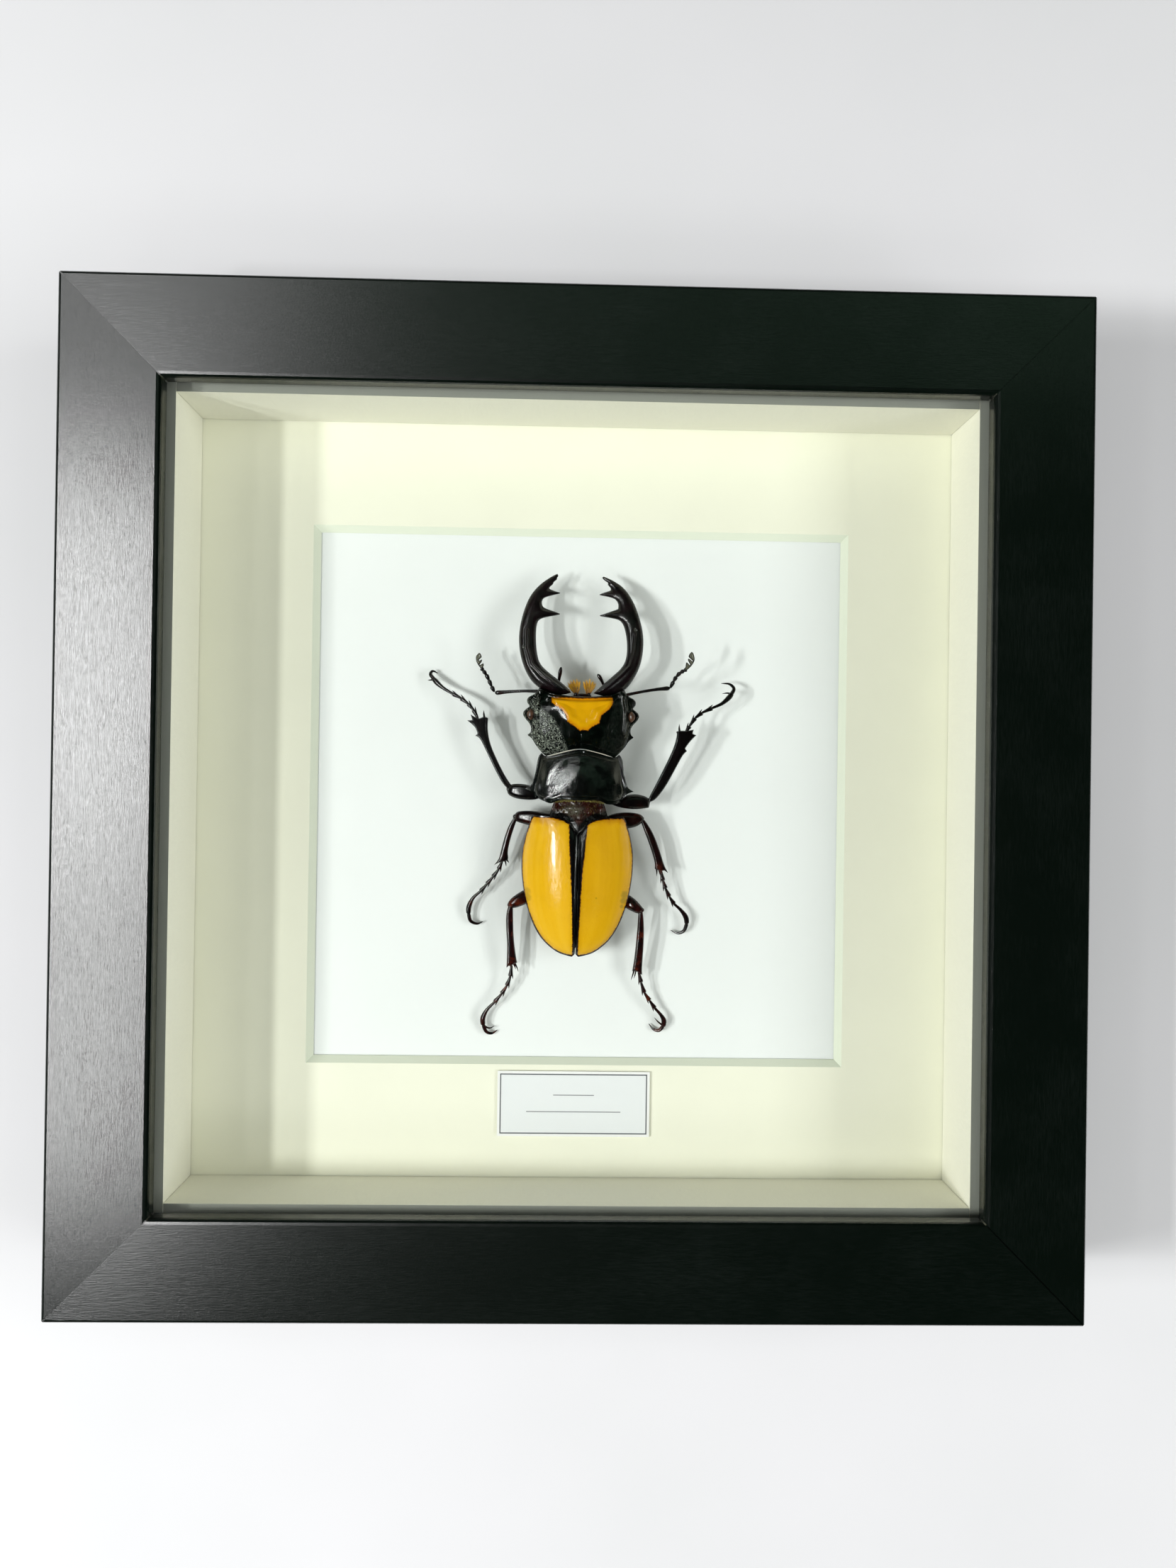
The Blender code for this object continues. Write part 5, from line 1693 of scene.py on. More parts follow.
@dataclass
class Jaws:
    """The two curved jaws, each grown from the outline of its blade and teeth.

    Attributes:
        outlines: From the root up the outer side, over the tip and down the teeth.
        heights: Height of the middle and half thickness, from root to tip.
        ridges: The crease along each blade's lower half.
        chips_and_glints: The middle of each jaw's pale dented spot: chipped cuticle on the left jaw, a
            painted highlight on the right.
    """

    outlines: tuple[Pairs, Pairs] = (
        (
            (-8.9, 30.3), (-10.9, 32.2), (-12.4, 35.2), (-13.3, 38.8), (-13.4, 42.7), (-12.5, 47.2),
            (-11.1, 50.7), (-9, 53.2), (-6.4, 55), (-5.5, 55.4), (-5.3, 54.9), (-5.6, 54.5), (-5.6, 54.1),
            (-6.3, 53.6), (-6.4, 53), (-7.1, 52.5), (-7.2, 52), (-5.9, 51.5), (-4.8, 51.2), (-4.9, 51),
            (-6.4, 50.6), (-8, 50.1), (-8.6, 49.6), (-8.7, 48.6), (-8.4, 47.9), (-7.6, 47.5), (-5.7, 46.9),
            (-4.7, 46.5), (-4.8, 46.3), (-6.7, 45.9), (-8.7, 45.4), (-9.6, 44.6), (-9.8, 41.7), (-9.5, 38),
            (-8.8, 35.5), (-7, 33.8), (-4.5, 32), (-2.4, 30.2), (-1.9, 29.5), (-3.9, 28.9), (-6.6, 29.3),
        ),
        (
            (9.6, 30.3), (11.3, 32.6), (12.7, 35.6), (13.3, 39.2), (13.2, 42.6), (12.3, 46.3), (11, 49.7),
            (9, 52.7), (6.5, 54.3), (4.5, 55.1), (4.2, 54.9), (4.3, 54.5), (5.5, 53.7), (5.4, 53.3),
            (6.1, 52.5), (6, 52), (4.6, 51.5), (3.7, 51.1), (3.7, 50.9), (6, 50.5), (7.1, 50.1), (7.8, 49.1),
            (7.7, 47.9), (5.6, 47.1), (3.8, 46.4), (3.9, 46.2), (6.7, 45.8), (8.3, 45.4), (9.2, 43.8),
            (9.8, 40.4), (9.7, 37.2), (8.7, 35), (6.6, 33.1), (4.6, 31.2), (2.8, 29.5), (4.8, 28.9),
            (7.3, 29.3),
        ),
    )
    heights: Pairs = (
        (7.1, 2), (7.3, 1.9), (7.1, 1.75), (6.8, 1.6), (6.4, 1.5), (6.1, 1.4), (5.7, 1.3), (5.2, 1.15),
        (4.6, 1), (4, 0.8), (3.6, 0.5),
    )
    ridges: tuple[Pairs, Pairs] = (
        ((-11.5, 42.5), (-11.3, 38.5), (-10.3, 35.2), (-8.3, 33.2), (-5.8, 31.4), (-3.9, 30.1)),
        ((11.4, 42.5), (11.2, 38.5), (10.4, 35.4), (8.6, 33.4), (6.3, 31.4), (4.6, 30.1)),
    )
    # The left spot is chipped cuticle; the right spot stands where a glint shows, a painted highlight
    chips_and_glints: tuple[Triple, Triple] = ((-12.3, 38.9, 8.2), (11.4, 43.2, 7.6))

    def build(self) -> None:
        """Both jaws."""
        for (_, name), outline, ridge, chip_and_glint in zip(SIDES, self.outlines, self.ridges, self.chips_and_glints):
            jaw = Pillow(outline, self.heights, (0, 29.5), (0, 55.4), 1.7, ridge=ridge, grain=0.1)
            piece = smooth(jaw.build(f"jaw_{name}"), 80)
            finish = JawCuticle(f"jaw_cuticle_{name}", chip_and_glint).build()
            hand_over(piece, finish, "jaw_shell", f"mandible_{name}")


@dataclass(frozen=True)
class LegPoints:
    """Where one leg's joints and spines lie.

    Attributes:
        body: Where the first limb leaves the body.
        knee: Where the first limb meets the second.
        ankle: Where the second limb ends.
        femur: The first limb's outline.
        tibia: The second limb's outline, with the teeth at its end.
        spurs: Root and tip of each loose spine at the ankle.
        tarsus: Four small foot joints' ends, then points along the claw joint.
        claws: The larger and the smaller claw.
    """

    body: Triple
    knee: Triple
    ankle: Triple
    femur: Pairs
    tibia: Pairs
    spurs: tuple[tuple[Triple, Triple], ...]
    tarsus: Triples
    claws: tuple[Triples, ...]


LEGS = {
    "front_left": LegPoints(
        body=(-8.0, 8.0, 5.4),
        knee=(-14.8, 8.7, 5.0),
        ankle=(-21.4, 23.4, 4.3),
        femur=(
            (-15.2, 8.1), (-14.9, 9.2), (-14, 9.9), (-10.8, 9.8), (-8.5, 8.9), (-7.4, 7.3), (-9, 6.4),
            (-12.6, 6.5), (-14.6, 7.2),
        ),
        tibia=(
            (-14.3, 8.7), (-15.4, 8.9), (-16.9, 11), (-19, 15), (-20.9, 18.8), (-21.6, 19.7), (-22.3, 19.9),
            (-21.8, 20.4), (-22.3, 21.8), (-24.1, 23.2), (-23, 23.3), (-23.4, 24.5), (-22, 23.7),
            (-21.4, 23.7), (-20.4, 24.2), (-19.6, 23.8), (-19.7, 21.5), (-19.1, 18.4), (-17.5, 14.9),
            (-15.5, 11.2), (-14, 9.2),
        ),
        spurs=(((-20.4, 23.8, 4.4), (-20.6, 25.5, 4.2)),),
        tarsus=(
            (-21.8, 23.6, 4.2), (-22.8, 25.5, 4), (-24, 26.8, 3.7), (-25.6, 28, 3.4), (-27.4, 28.9, 3.1),
            (-29.5, 30.1, 2.8), (-31, 31.3, 2.4), (-31.8, 32.2, 2.1),
        ),
        claws=(
            ((-31.7, 32.1, 2.1), (-32.5, 33.1, 1.7), (-32.1, 33.9, 1.2), (-31.0, 33.5, 0.7)),
            ((-31.7, 32.0, 2.1), (-32.4, 31.9, 1.7), (-33.1, 31.9, 1.4)),
        ),
    ),
    "front_right": LegPoints(
        body=(8.2, 6.3, 5.5),
        knee=(15.3, 6.9, 5.1),
        ankle=(22.5, 21.7, 6.2),
        femur=(
            (6.8, 6.2), (8.5, 7.4), (11.9, 8.4), (14.7, 7.9), (15.7, 7), (15.4, 5.4), (12.5, 4.9), (8.7, 5.3),
        ),
        tibia=(
            (15.2, 7.3), (17, 11), (19, 15.3), (20.5, 18.8), (21, 21.4), (20.7, 21.8), (21.4, 22.1),
            (23.3, 22.1), (24.5, 22.4), (24.3, 21.5), (25.1, 21.2), (23.7, 19.7), (22.8, 18.3), (23.2, 17.7),
            (22.4, 17), (21.3, 14.8), (19, 10.2), (17, 7.4), (15.9, 6.7), (15.1, 6.6),
        ),
        spurs=(((21.5, 21.8, 6.2), (21.4, 23.5, 6.1)),),
        tarsus=(
            (22.8, 21.8, 6.2), (23.6, 23.1, 6), (24.8, 24.9, 5.6), (26.3, 26.1, 5.2), (28.5, 27.2, 4.8),
            (30.6, 28.2, 4.4), (32.2, 29.6, 3.9), (33, 30.7, 3.5),
        ),
        claws=(
            ((32.9, 30.5, 3.5), (33.4, 31.7, 3.0), (32.5, 32.7, 2.4), (30.8, 32.9, 1.6)),
            ((32.9, 30.5, 3.5), (32.0, 30.7, 2.8), (31.0, 30.6, 2.2)),
        ),
    ),
    "middle_left": LegPoints(
        body=(-5.2, 3.0, 5.0),
        knee=(-13.3, 2.8, 4.1),
        ankle=(-15.6, -7.0, 3.1),
        femur=(
            (-13.6, 2.5), (-13.3, 3.5), (-12.6, 4), (-9.8, 4.2), (-6.3, 3.7), (-4.7, 3.4), (-4.8, 2.2),
            (-8.7, 0.7), (-11.8, 1.3), (-13.4, 1.9),
        ),
        tibia=(
            (-13.4, 2.9), (-14.6, 1), (-15.5, -1.6), (-16.2, -4.6), (-16.6, -6.5), (-17.7, -7.9),
            (-16.4, -7.1), (-15, -7), (-14.5, -6.4), (-14.8, -4.9), (-14.2, -2), (-13.4, 0.7), (-12.8, 2.4),
        ),
        spurs=(((-15.3, -6.7, 3.2), (-15.0, -8.1, 3.0)), ((-15.0, -6.6, 3.2), (-14.4, -7.3, 3.1))),
        tarsus=(
            (-15.9, -7, 3.1), (-16.6, -8.7, 2.9), (-17.8, -10.4, 2.5), (-19.1, -12, 2.2), (-20.4, -13.6, 2),
            (-22, -15.1, 1.8), (-22.9, -17, 1.5), (-23, -18.8, 1.3),
        ),
        claws=(
            ((-23.0, -18.6, 1.3), (-22.5, -20.2, 1.1), (-21.1, -20.8, 0.8), (-19.8, -20.3, 0.5)),
            ((-23.0, -18.7, 1.3), (-23.0, -19.6, 0.9), (-22.4, -20.5, 0.5)),
        ),
    ),
    "middle_right": LegPoints(
        body=(5.9, 3.1, 5.0),
        knee=(14.0, 3.0, 4.1),
        ankle=(18.0, -8.0, 3.2),
        femur=(
            (5.6, 2.9), (7.8, 4), (10.7, 4.4), (13.4, 4.1), (14.3, 3.5), (14.5, 2.6), (13.1, 1.2), (9.8, 0.6),
            (6.4, 1.9),
        ),
        tibia=(
            (13.6, 2.8), (14.9, -0.3), (16.5, -4.4), (17.2, -6.9), (17.1, -7.8), (17.6, -8), (18.5, -8.4),
            (19.2, -8.1), (20.1, -8.7), (19.1, -6.9), (18.2, -4.1), (16.7, -0.3), (15, 2.3), (14.2, 3.1),
        ),
        spurs=(((17.5, -7.7, 3.3), (17.6, -9.4, 3.1)), ((18.0, -7.9, 3.3), (18.3, -9.2, 3.1))),
        tarsus=(
            (18.5, -8.2, 3.2), (19, -10.3, 3), (19.6, -12, 2.8), (20.5, -13.8, 2.5), (21.6, -15.4, 2.2),
            (23.1, -16.7, 2), (24.3, -18.3, 1.7), (24.6, -19.9, 1.5),
        ),
        claws=(
            ((24.6, -19.7, 1.5), (24.0, -21.3, 1.2), (22.7, -21.9, 0.9), (21.1, -21.3, 0.5)),
            ((24.6, -19.8, 1.5), (24.5, -20.9, 1.1), (23.7, -21.8, 0.6)),
        ),
    ),
    "hind_left": LegPoints(
        body=(-9.8, -14.4, 3.4),
        knee=(-14.0, -16.2, 4.2),
        ankle=(-13.4, -29.5, 2.8),
        femur=(
            (-14.4, -15.8), (-13.9, -15), (-12.9, -14.1), (-10.6, -12.7), (-9.6, -13.7), (-9.5, -15.4),
            (-10.8, -16.2), (-13.1, -17), (-14, -16.6),
        ),
        tibia=(
            (-14.1, -15.9), (-14.7, -18), (-14.7, -21), (-14.3, -25), (-14.4, -30), (-13.9, -29.5),
            (-13.5, -29.7), (-12.8, -29.1), (-12.1, -28.8), (-12.4, -27.5), (-13, -23.4), (-13.2, -19.1),
            (-13.3, -16.2),
        ),
        spurs=(((-12.6, -28.9, 2.9), (-11.8, -30.8, 2.7)), ((-12.9, -29.0, 2.9), (-12.4, -30.3, 2.7))),
        tarsus=(
            (-13.3, -29.4, 2.8), (-13.5, -31.8, 2.5), (-14.2, -33.9, 2.2), (-15.3, -35.7, 2),
            (-16.8, -37.6, 1.8), (-18.4, -39.3, 1.6), (-19.3, -41.2, 1.4), (-19.2, -42.9, 1.2),
        ),
        claws=(
            ((-19.2, -42.7, 1.2), (-18.5, -44.2, 1.0), (-17.3, -44.6, 0.7), (-16.1, -43.9, 0.4)),
            ((-19.2, -42.8, 1.2), (-17.9, -43.4, 1.2), (-16.8, -43.0, 0.9)),
        ),
    ),
    "hind_right": LegPoints(
        body=(10.4, -14.7, 3.4),
        knee=(14.5, -16.7, 4.2),
        ankle=(14.0, -30.2, 2.9),
        femur=(
            (10.6, -12.9), (12.9, -14.3), (14, -15.4), (14.9, -16.5), (14.4, -17.2), (13.7, -17.6),
            (12, -16.9), (10.3, -16), (9.9, -14.4),
        ),
        tibia=(
            (13.8, -16.9), (13.6, -21.6), (13.2, -27.4), (12.8, -30.1), (13.8, -30.1), (15, -30.9),
            (14.9, -29.5), (15.2, -22.5), (14.9, -18), (14.5, -16.5),
        ),
        spurs=(((13.2, -29.8, 2.9), (12.6, -32.1, 2.7)), ((13.6, -29.9, 2.9), (13.2, -31.8, 2.7))),
        tarsus=(
            (14.2, -30.1, 2.9), (14.8, -32.5, 2.6), (15.6, -34.8, 2.3), (16.8, -36.5, 2), (18, -38.2, 1.8),
            (19.4, -39.7, 1.6), (20.1, -41, 1.4), (20, -42.4, 1.2),
        ),
        claws=(
            ((20.0, -42.2, 1.2), (19.1, -43.2, 1.0), (17.9, -43.0, 0.7), (16.9, -41.9, 0.4)),
            ((20.0, -42.1, 1.3), (18.9, -41.3, 1.4), (18.0, -40.4, 1.2)),
        ),
    ),
}


@dataclass
class Legs:
    """The six legs, each with femur, tibia, spines, a foot of joints and two claws.

    Attributes:
        femur_half: Half thickness of the first limb at the body, in its middle and at the knee.
        tibia_half: The same for the second limb, at the knee, in its middle and at the ankle.
        reds: How red-brown each pair of legs is.
    """

    femur_half: Triple = (1.1, 1.3, 0.95)
    tibia_half: Triple = (0.5, 0.68, 0.62)
    reds: tuple[tuple[str, float], ...] = (("front", 0.05), ("middle", 0.4), ("hind", 1.0))

    def limb(self, outline: Pairs, start: Triple, end: Triple, half: Triple, **more: float) -> Pillow:
        """A flattened limb between two joints, with its half thickness at both and between them."""
        steps = np.linspace(start[2], end[2], len(half))
        return Pillow(outline, list(zip(steps, half)), start, end, **more)

    def foot_joint(self, near: Array, far: Array, way: int) -> list[Limb]:
        """One small foot joint: a flared cone with a long barb and a short one.

        Args:
            near: Where it begins.
            far: Where it ends.
            way: 1 for the long barb on the left, -1 for the right.

        Returns:
            The cone and its barbs.
        """
        along = unit(far - near)
        aside = unit(np.cross([0.0, 0.0, 1.0], along)) * way
        path = (near, (near + far) / 2, far)
        cone = Limb(path, (0.24, 0.37, 0.58), (0.24, 0.34, 0.42), 12, 0.14, (0.12, 0.1))
        barbs = []
        for reach, out, side in ((1.0, 0.3, 1), (0.55, 0.1, -1)):
            root = far - along * 0.45 + aside * side * 0.3
            barbs.append(thorn(root, root + along * reach + aside * side * out, 0.2))
        return [cone, *barbs]

    def parts(self, name: str, leg: LegPoints) -> list[Limb | Pillow]:
        """Every limb of one leg.

        Args:
            name: The leg's name in LEGS.
            leg: Where its joints lie.

        Returns:
            The limbs from the body to the claws.
        """
        fore = name.startswith("front")
        femur = self.limb(leg.femur, leg.body, leg.knee, self.femur_half, shoulder=1.35)
        rim = 0.14 if fore else 0.06
        tibia = self.limb(leg.tibia, leg.knee, leg.ankle, self.tibia_half, shoulder=0.7, rim=rim)
        knee, out = np.asarray(leg.knee), np.array([0.4, 0.3, 0.1])
        ball = Limb((knee - out, knee, knee + out), (0.4, 0.5, 0.4), None, 16, 0.1, (0.4, 0.4))
        made = [femur, tibia, ball]
        made += [thorn(root, tip, 0.26 if fore else 0.2, 0.06) for root, tip in leg.spurs]
        joints = [np.asarray(p, float) for p in leg.tarsus]
        way = (1 if name.endswith("left") else -1) * (-1 if fore else 1)
        for near, far in zip(joints[:4], joints[1:5]):
            made += self.foot_joint(near - unit(far - near) * 0.1, far, way)
        root = joints[4] - unit(joints[5] - joints[4]) * 0.25
        wide, high = (0.27, 0.38, 0.56, 0.5), (0.25, 0.36, 0.48, 0.44)
        made.append(Limb((root, *joints[5:]), wide, high, 16, 0.15, (0.05, 0.1)))
        for claw, wide in zip(leg.claws, ((0.44, 0.38, 0.27, 0.06), (0.22, 0.17, 0.04))):
            made.append(Limb(claw, wide, None, 12, 0.1, (0.06, 0.02)))
        return made

    def build(self) -> None:
        """All six legs."""
        finishes = {pair: LegCuticle(f"{pair}_leg_cuticle", red).build() for pair, red in self.reds}
        for name, leg in LEGS.items():
            limbs = [limb.build(f"{name}_limb") for limb in self.parts(name, leg)]
            piece = smooth(join(f"{name}_leg", limbs), 70)
            hand_over(piece, finishes[name.split("_")[0]], "red_brown_leg", f"leg_{name}")


@dataclass
class Antennae:
    """The two feelers: a long first joint, a beaded shaft bent back, and a club of three leaves.

    Attributes:
        shafts: The path of each first joint.
        beads: Where each bead ends and the next begins.
        clubs: Each club's outline, from its root over the tip.
    """

    shafts: tuple[Triples, Triples] = (
        ((-8.6, 29.6, 7.2), (-12.0, 29.6, 7.0), (-15.2, 29.4, 6.6), (-18.2, 29.1, 6.2)),
        ((9.3, 29.2, 7.2), (12.6, 30.0, 7.0), (16.1, 30.7, 6.7), (19.2, 31.1, 6.5)),
    )
    beads: tuple[Triples, Triples] = (
        (
            (-18.3, 29.3, 6), (-18.9, 30.4, 6), (-19.5, 31.7, 6), (-20.1, 32.9, 6), (-20.7, 33.7, 6),
            (-21.2, 34.3, 6),
        ),
        (
            (19.2, 31.1, 6.5), (19.8, 32.4, 7), (20.3, 33.4, 7.6), (21, 34.2, 8.3), (21.7, 34.6, 8.8),
            (22.3, 34.9, 9.1),
        ),
    )
    clubs: tuple[Pairs, Pairs] = (
        (
            (-21.1, 33.9), (-22.2, 35.3), (-22.5, 36.3), (-22.4, 37), (-21.8, 37.6), (-21.4, 37.4),
            (-21.2, 36.7), (-21.9, 36), (-21.7, 35.9), (-21.1, 36.2), (-21.2, 35.6), (-21.7, 35.1),
            (-21.5, 35), (-20.8, 35.4), (-20.7, 34.9), (-21, 34.3), (-20.5, 34), (-20.6, 33.4),
        ),
        (
            (21.7, 34.6), (21.9, 35.1), (22.1, 35.3), (22.2, 36.4), (22.5, 36.4), (23, 35.8), (23.1, 36),
            (22.6, 36.8), (22.6, 37.2), (22.9, 37.2), (23.6, 36.6), (23.7, 36.7), (22.7, 37.6), (22.8, 38.1),
            (23.3, 38.7), (23.7, 38.5), (24.1, 37.1), (23.8, 36.3), (23, 35.2), (22, 34.5),
        ),
    )

    def build(self) -> None:
        """Both feelers."""
        finish = LegCuticle("feeler_cuticle", 0.15, (0.2, 0.34)).build()
        for (_, name), shaft, joints, club in zip(SIDES, self.shafts, self.beads, self.clubs):
            limbs = [Limb(shaft, (0.38, 0.32, 0.32, 0.38, 0.55), None, 14, 0.18, (0.06, 0.1))]
            beads = [np.asarray(p, float) for p in joints]
            for near, far in zip(beads, beads[1:]):
                reach = far + (far - near) * 0.15
                bead = (near, (near + reach) / 2, reach)
                limbs.append(Limb(bead, (0.2, 0.36, 0.46, 0.38), None, 12, 0.1, (0.15, 0.2)))
            top = beads[-1][2]
            heights = ((top, 0.3), (top - 0.1, 0.3))
            limbs.append(Pillow(club, heights, club[0], club[5], 0.3, 0.08, grain=0.06))
            pieces = [limb.build(f"feeler_{name}_joint") for limb in limbs]
            mark(pieces[-1], "leaf", depth_of(pieces[-1]))
            piece = smooth(join(f"feeler_{name}", pieces), 70)
            hand_over(piece, finish, "red_brown_leg", f"antenna_{name}")


@dataclass
class Hairs:
    """Many fine hairs as one mesh, each a bent blade with three sides.

    Attributes:
        name: The piece's name.
        cuts: Rings between a hair's root and its tip.
    """

    name: str
    cuts: int = 3

    def one(self) -> tuple[Array, list[tuple[int, ...]]]:
        """One straight hair, 1 long and with radius 1: its points and faces."""
        let_go()
        bpy.ops.mesh.primitive_cylinder_add(vertices=3, radius=1.0, depth=1.0, location=(0, 0, 0.5))
        hair = named("one_hair")
        bpy.ops.object.transform_apply(location=True, rotation=False, scale=False)
        places = [(0, 0, cut / (self.cuts + 1)) for cut in range(1, self.cuts + 1)]
        edit(hair, *(partial(bpy.ops.mesh.bisect, plane_co=place, plane_no=(0, 0, 1)) for place in places))
        points = raw_points(hair)
        faces = [tuple(f.vertices) for f in hair.data.polygons]
        bpy.data.objects.remove(hair)
        return points, faces

    def build(self, roots: Array, ways: Array, lengths: Array, radius: float, bends: Array) -> Piece:
        """All hairs.

        Args:
            roots: Where each hair starts, in the insect's millimetres.
            ways: The direction that each sets out in.
            lengths: How long each is.
            radius: The radius at the roots.
            bends: How far each tip is carried aside.

        Returns:
            The piece, with each point's share of its hair's length as "reach".
        """
        points, faces = self.one()
        ways = unit(ways)
        across = unit(np.cross(ways, [0.13, 0.21, 0.97]))
        other = np.cross(ways, across)
        reach = points[:, 2]
        thin = radius * (1 - 0.85 * reach)
        grown = (
            roots[:, None, :]
            + ways[:, None, :] * (reach[None, :, None] * lengths[:, None, None])
            + bends[:, None, :] * (reach**2)[None, :, None]
            + across[:, None, :] * (points[:, 0] * thin)[None, :, None]
            + other[:, None, :] * (points[:, 1] * thin)[None, :, None]
        )
        count = len(points)
        all_faces = [tuple(i + count * k for i in face) for k in range(len(roots)) for face in faces]
        mesh = bpy.data.meshes.new(self.name)
        mesh.from_pydata(PLACE.to_frame(grown.reshape(-1, 3)).tolist(), [], all_faces)
        piece = bpy.data.objects.new(self.name, mesh)
        bpy.context.scene.collection.objects.link(piece)
        mark(piece, "reach", np.tile(reach, len(roots)))
        return smooth(edit(piece, turn_outwards), 70)


@dataclass
class Mouth:
    """The palps, the two golden tufts of the mouth brush and the lip between them.

    Attributes:
        palps: The path of each palp.
        tufts: Where each tuft stands, as x and y.
        leans: How far each leans aside, in radians.
        seeds: Start of each tuft's random numbers.
        tuft_hairs: Hairs in each tuft.
        tuft_reach: The longest hair.
        lip: The lip's path.
        knobs: Where the lip's two knobs stand across the board.
    """

    palps: tuple[Triples, Triples] = (
        ((-4.5, 30.9, 3.6), (-4.6, 32.2, 4.8), (-4.4, 33.8, 5.7), (-4.2, 35.1, 5.8)),
        ((5.2, 30.6, 3.4), (4.9, 31.8, 4.6), (4.2, 33.0, 5.6), (3.6, 33.8, 5.8)),
    )
    tufts: Pairs = ((-0.85, 29.7), (1.75, 29.7))
    leans: Pair = (-0.28, 0.12)
    seeds: tuple[int, int] = (11, 12)
    tuft_hairs: int = 520
    tuft_reach: float = 2.7
    lip: Triples = ((-1.5, 28.9, 6.0), (0.4, 29.1, 6.2), (2.4, 28.9, 6.0))
    knobs: Pair = (-0.95, 1.85)

    def tuft(self, name: str, root: Pair, lean: float, seed: int) -> Piece:
        """One tuft: hairs fanned out from a narrow root.

        Args:
            name: The piece's name.
            root: Where the tuft stands, as x and y.
            lean: How far it leans aside, in radians.
            seed: Start of its random numbers.

        Returns:
            The piece.
        """
        random = np.random.default_rng(seed)
        count = self.tuft_hairs
        x, y = root
        fan = random.uniform(-1, 1, count)
        locks = np.round(fan * 2.5) / 2.5
        fan = locks * 0.75 + fan * 0.3
        angle = fan * 0.5 + lean
        ways = np.column_stack([np.sin(angle), np.cos(angle), random.uniform(-0.22, 0.3, count)])
        along, high = random.uniform(-0.3, 0.5, count), random.uniform(-0.45, 0.45, count)
        roots = np.column_stack([x + fan * 0.45, y + along, 5.5 + high])
        lengths = self.tuft_reach * random.uniform(0.55, 1.0, count) * (1 - 0.16 * np.abs(fan))
        bends = random.normal(0, 0.16, (count, 3)) - [0, 0, 0.3]
        return Hairs(name).build(roots, ways, lengths, 0.075, bends)

    def build(self) -> None:
        """Palps, tufts and lip."""
        dark = LegCuticle("palp_cuticle", 0.1, (0.12, 0.24)).build()
        golden = GoldenHair("brush_hair", (0.34, 0.12, 0.004), (0.86, 0.48, 0.012)).build()
        for (_, name), path, *tuft in zip(SIDES, self.palps, self.tufts, self.leans, self.seeds):
            palp = Limb(path, (0.2, 0.28, 0.36, 0.42, 0.22), None, 16, 0.12, (0.1, 0.12))
            palp = smooth(palp.build(f"feeding_palp_{name}"))
            hand_over(palp, dark, "red_brown_leg", f"palp_{name}")
            brush = self.tuft(f"brush_{name}", *tuft)
            hand_over(brush, golden, "golden_hair", f"mouth_brush_{name}")
        limbs = [Limb(self.lip, (0.35, 0.4, 0.35), (0.4, 0.5, 0.4), 16, 0.12)]
        for x in self.knobs:
            path = ((x, 28.7, 6.3), (x, 29.2, 6.5), (x, 29.6, 6.2))
            limbs.append(Limb(path, (0.3, 0.38, 0.28), None, 16, 0.1, (0.3, 0.3)))
        pieces = [limb.build("lip_part") for limb in limbs]
        lip_finish = LegCuticle("lip_cuticle", 0.6, amber=(0.3, 0.18, 0.12)).build()
        hand_over(smooth(join("lip", pieces)), lip_finish, "dark_shell")


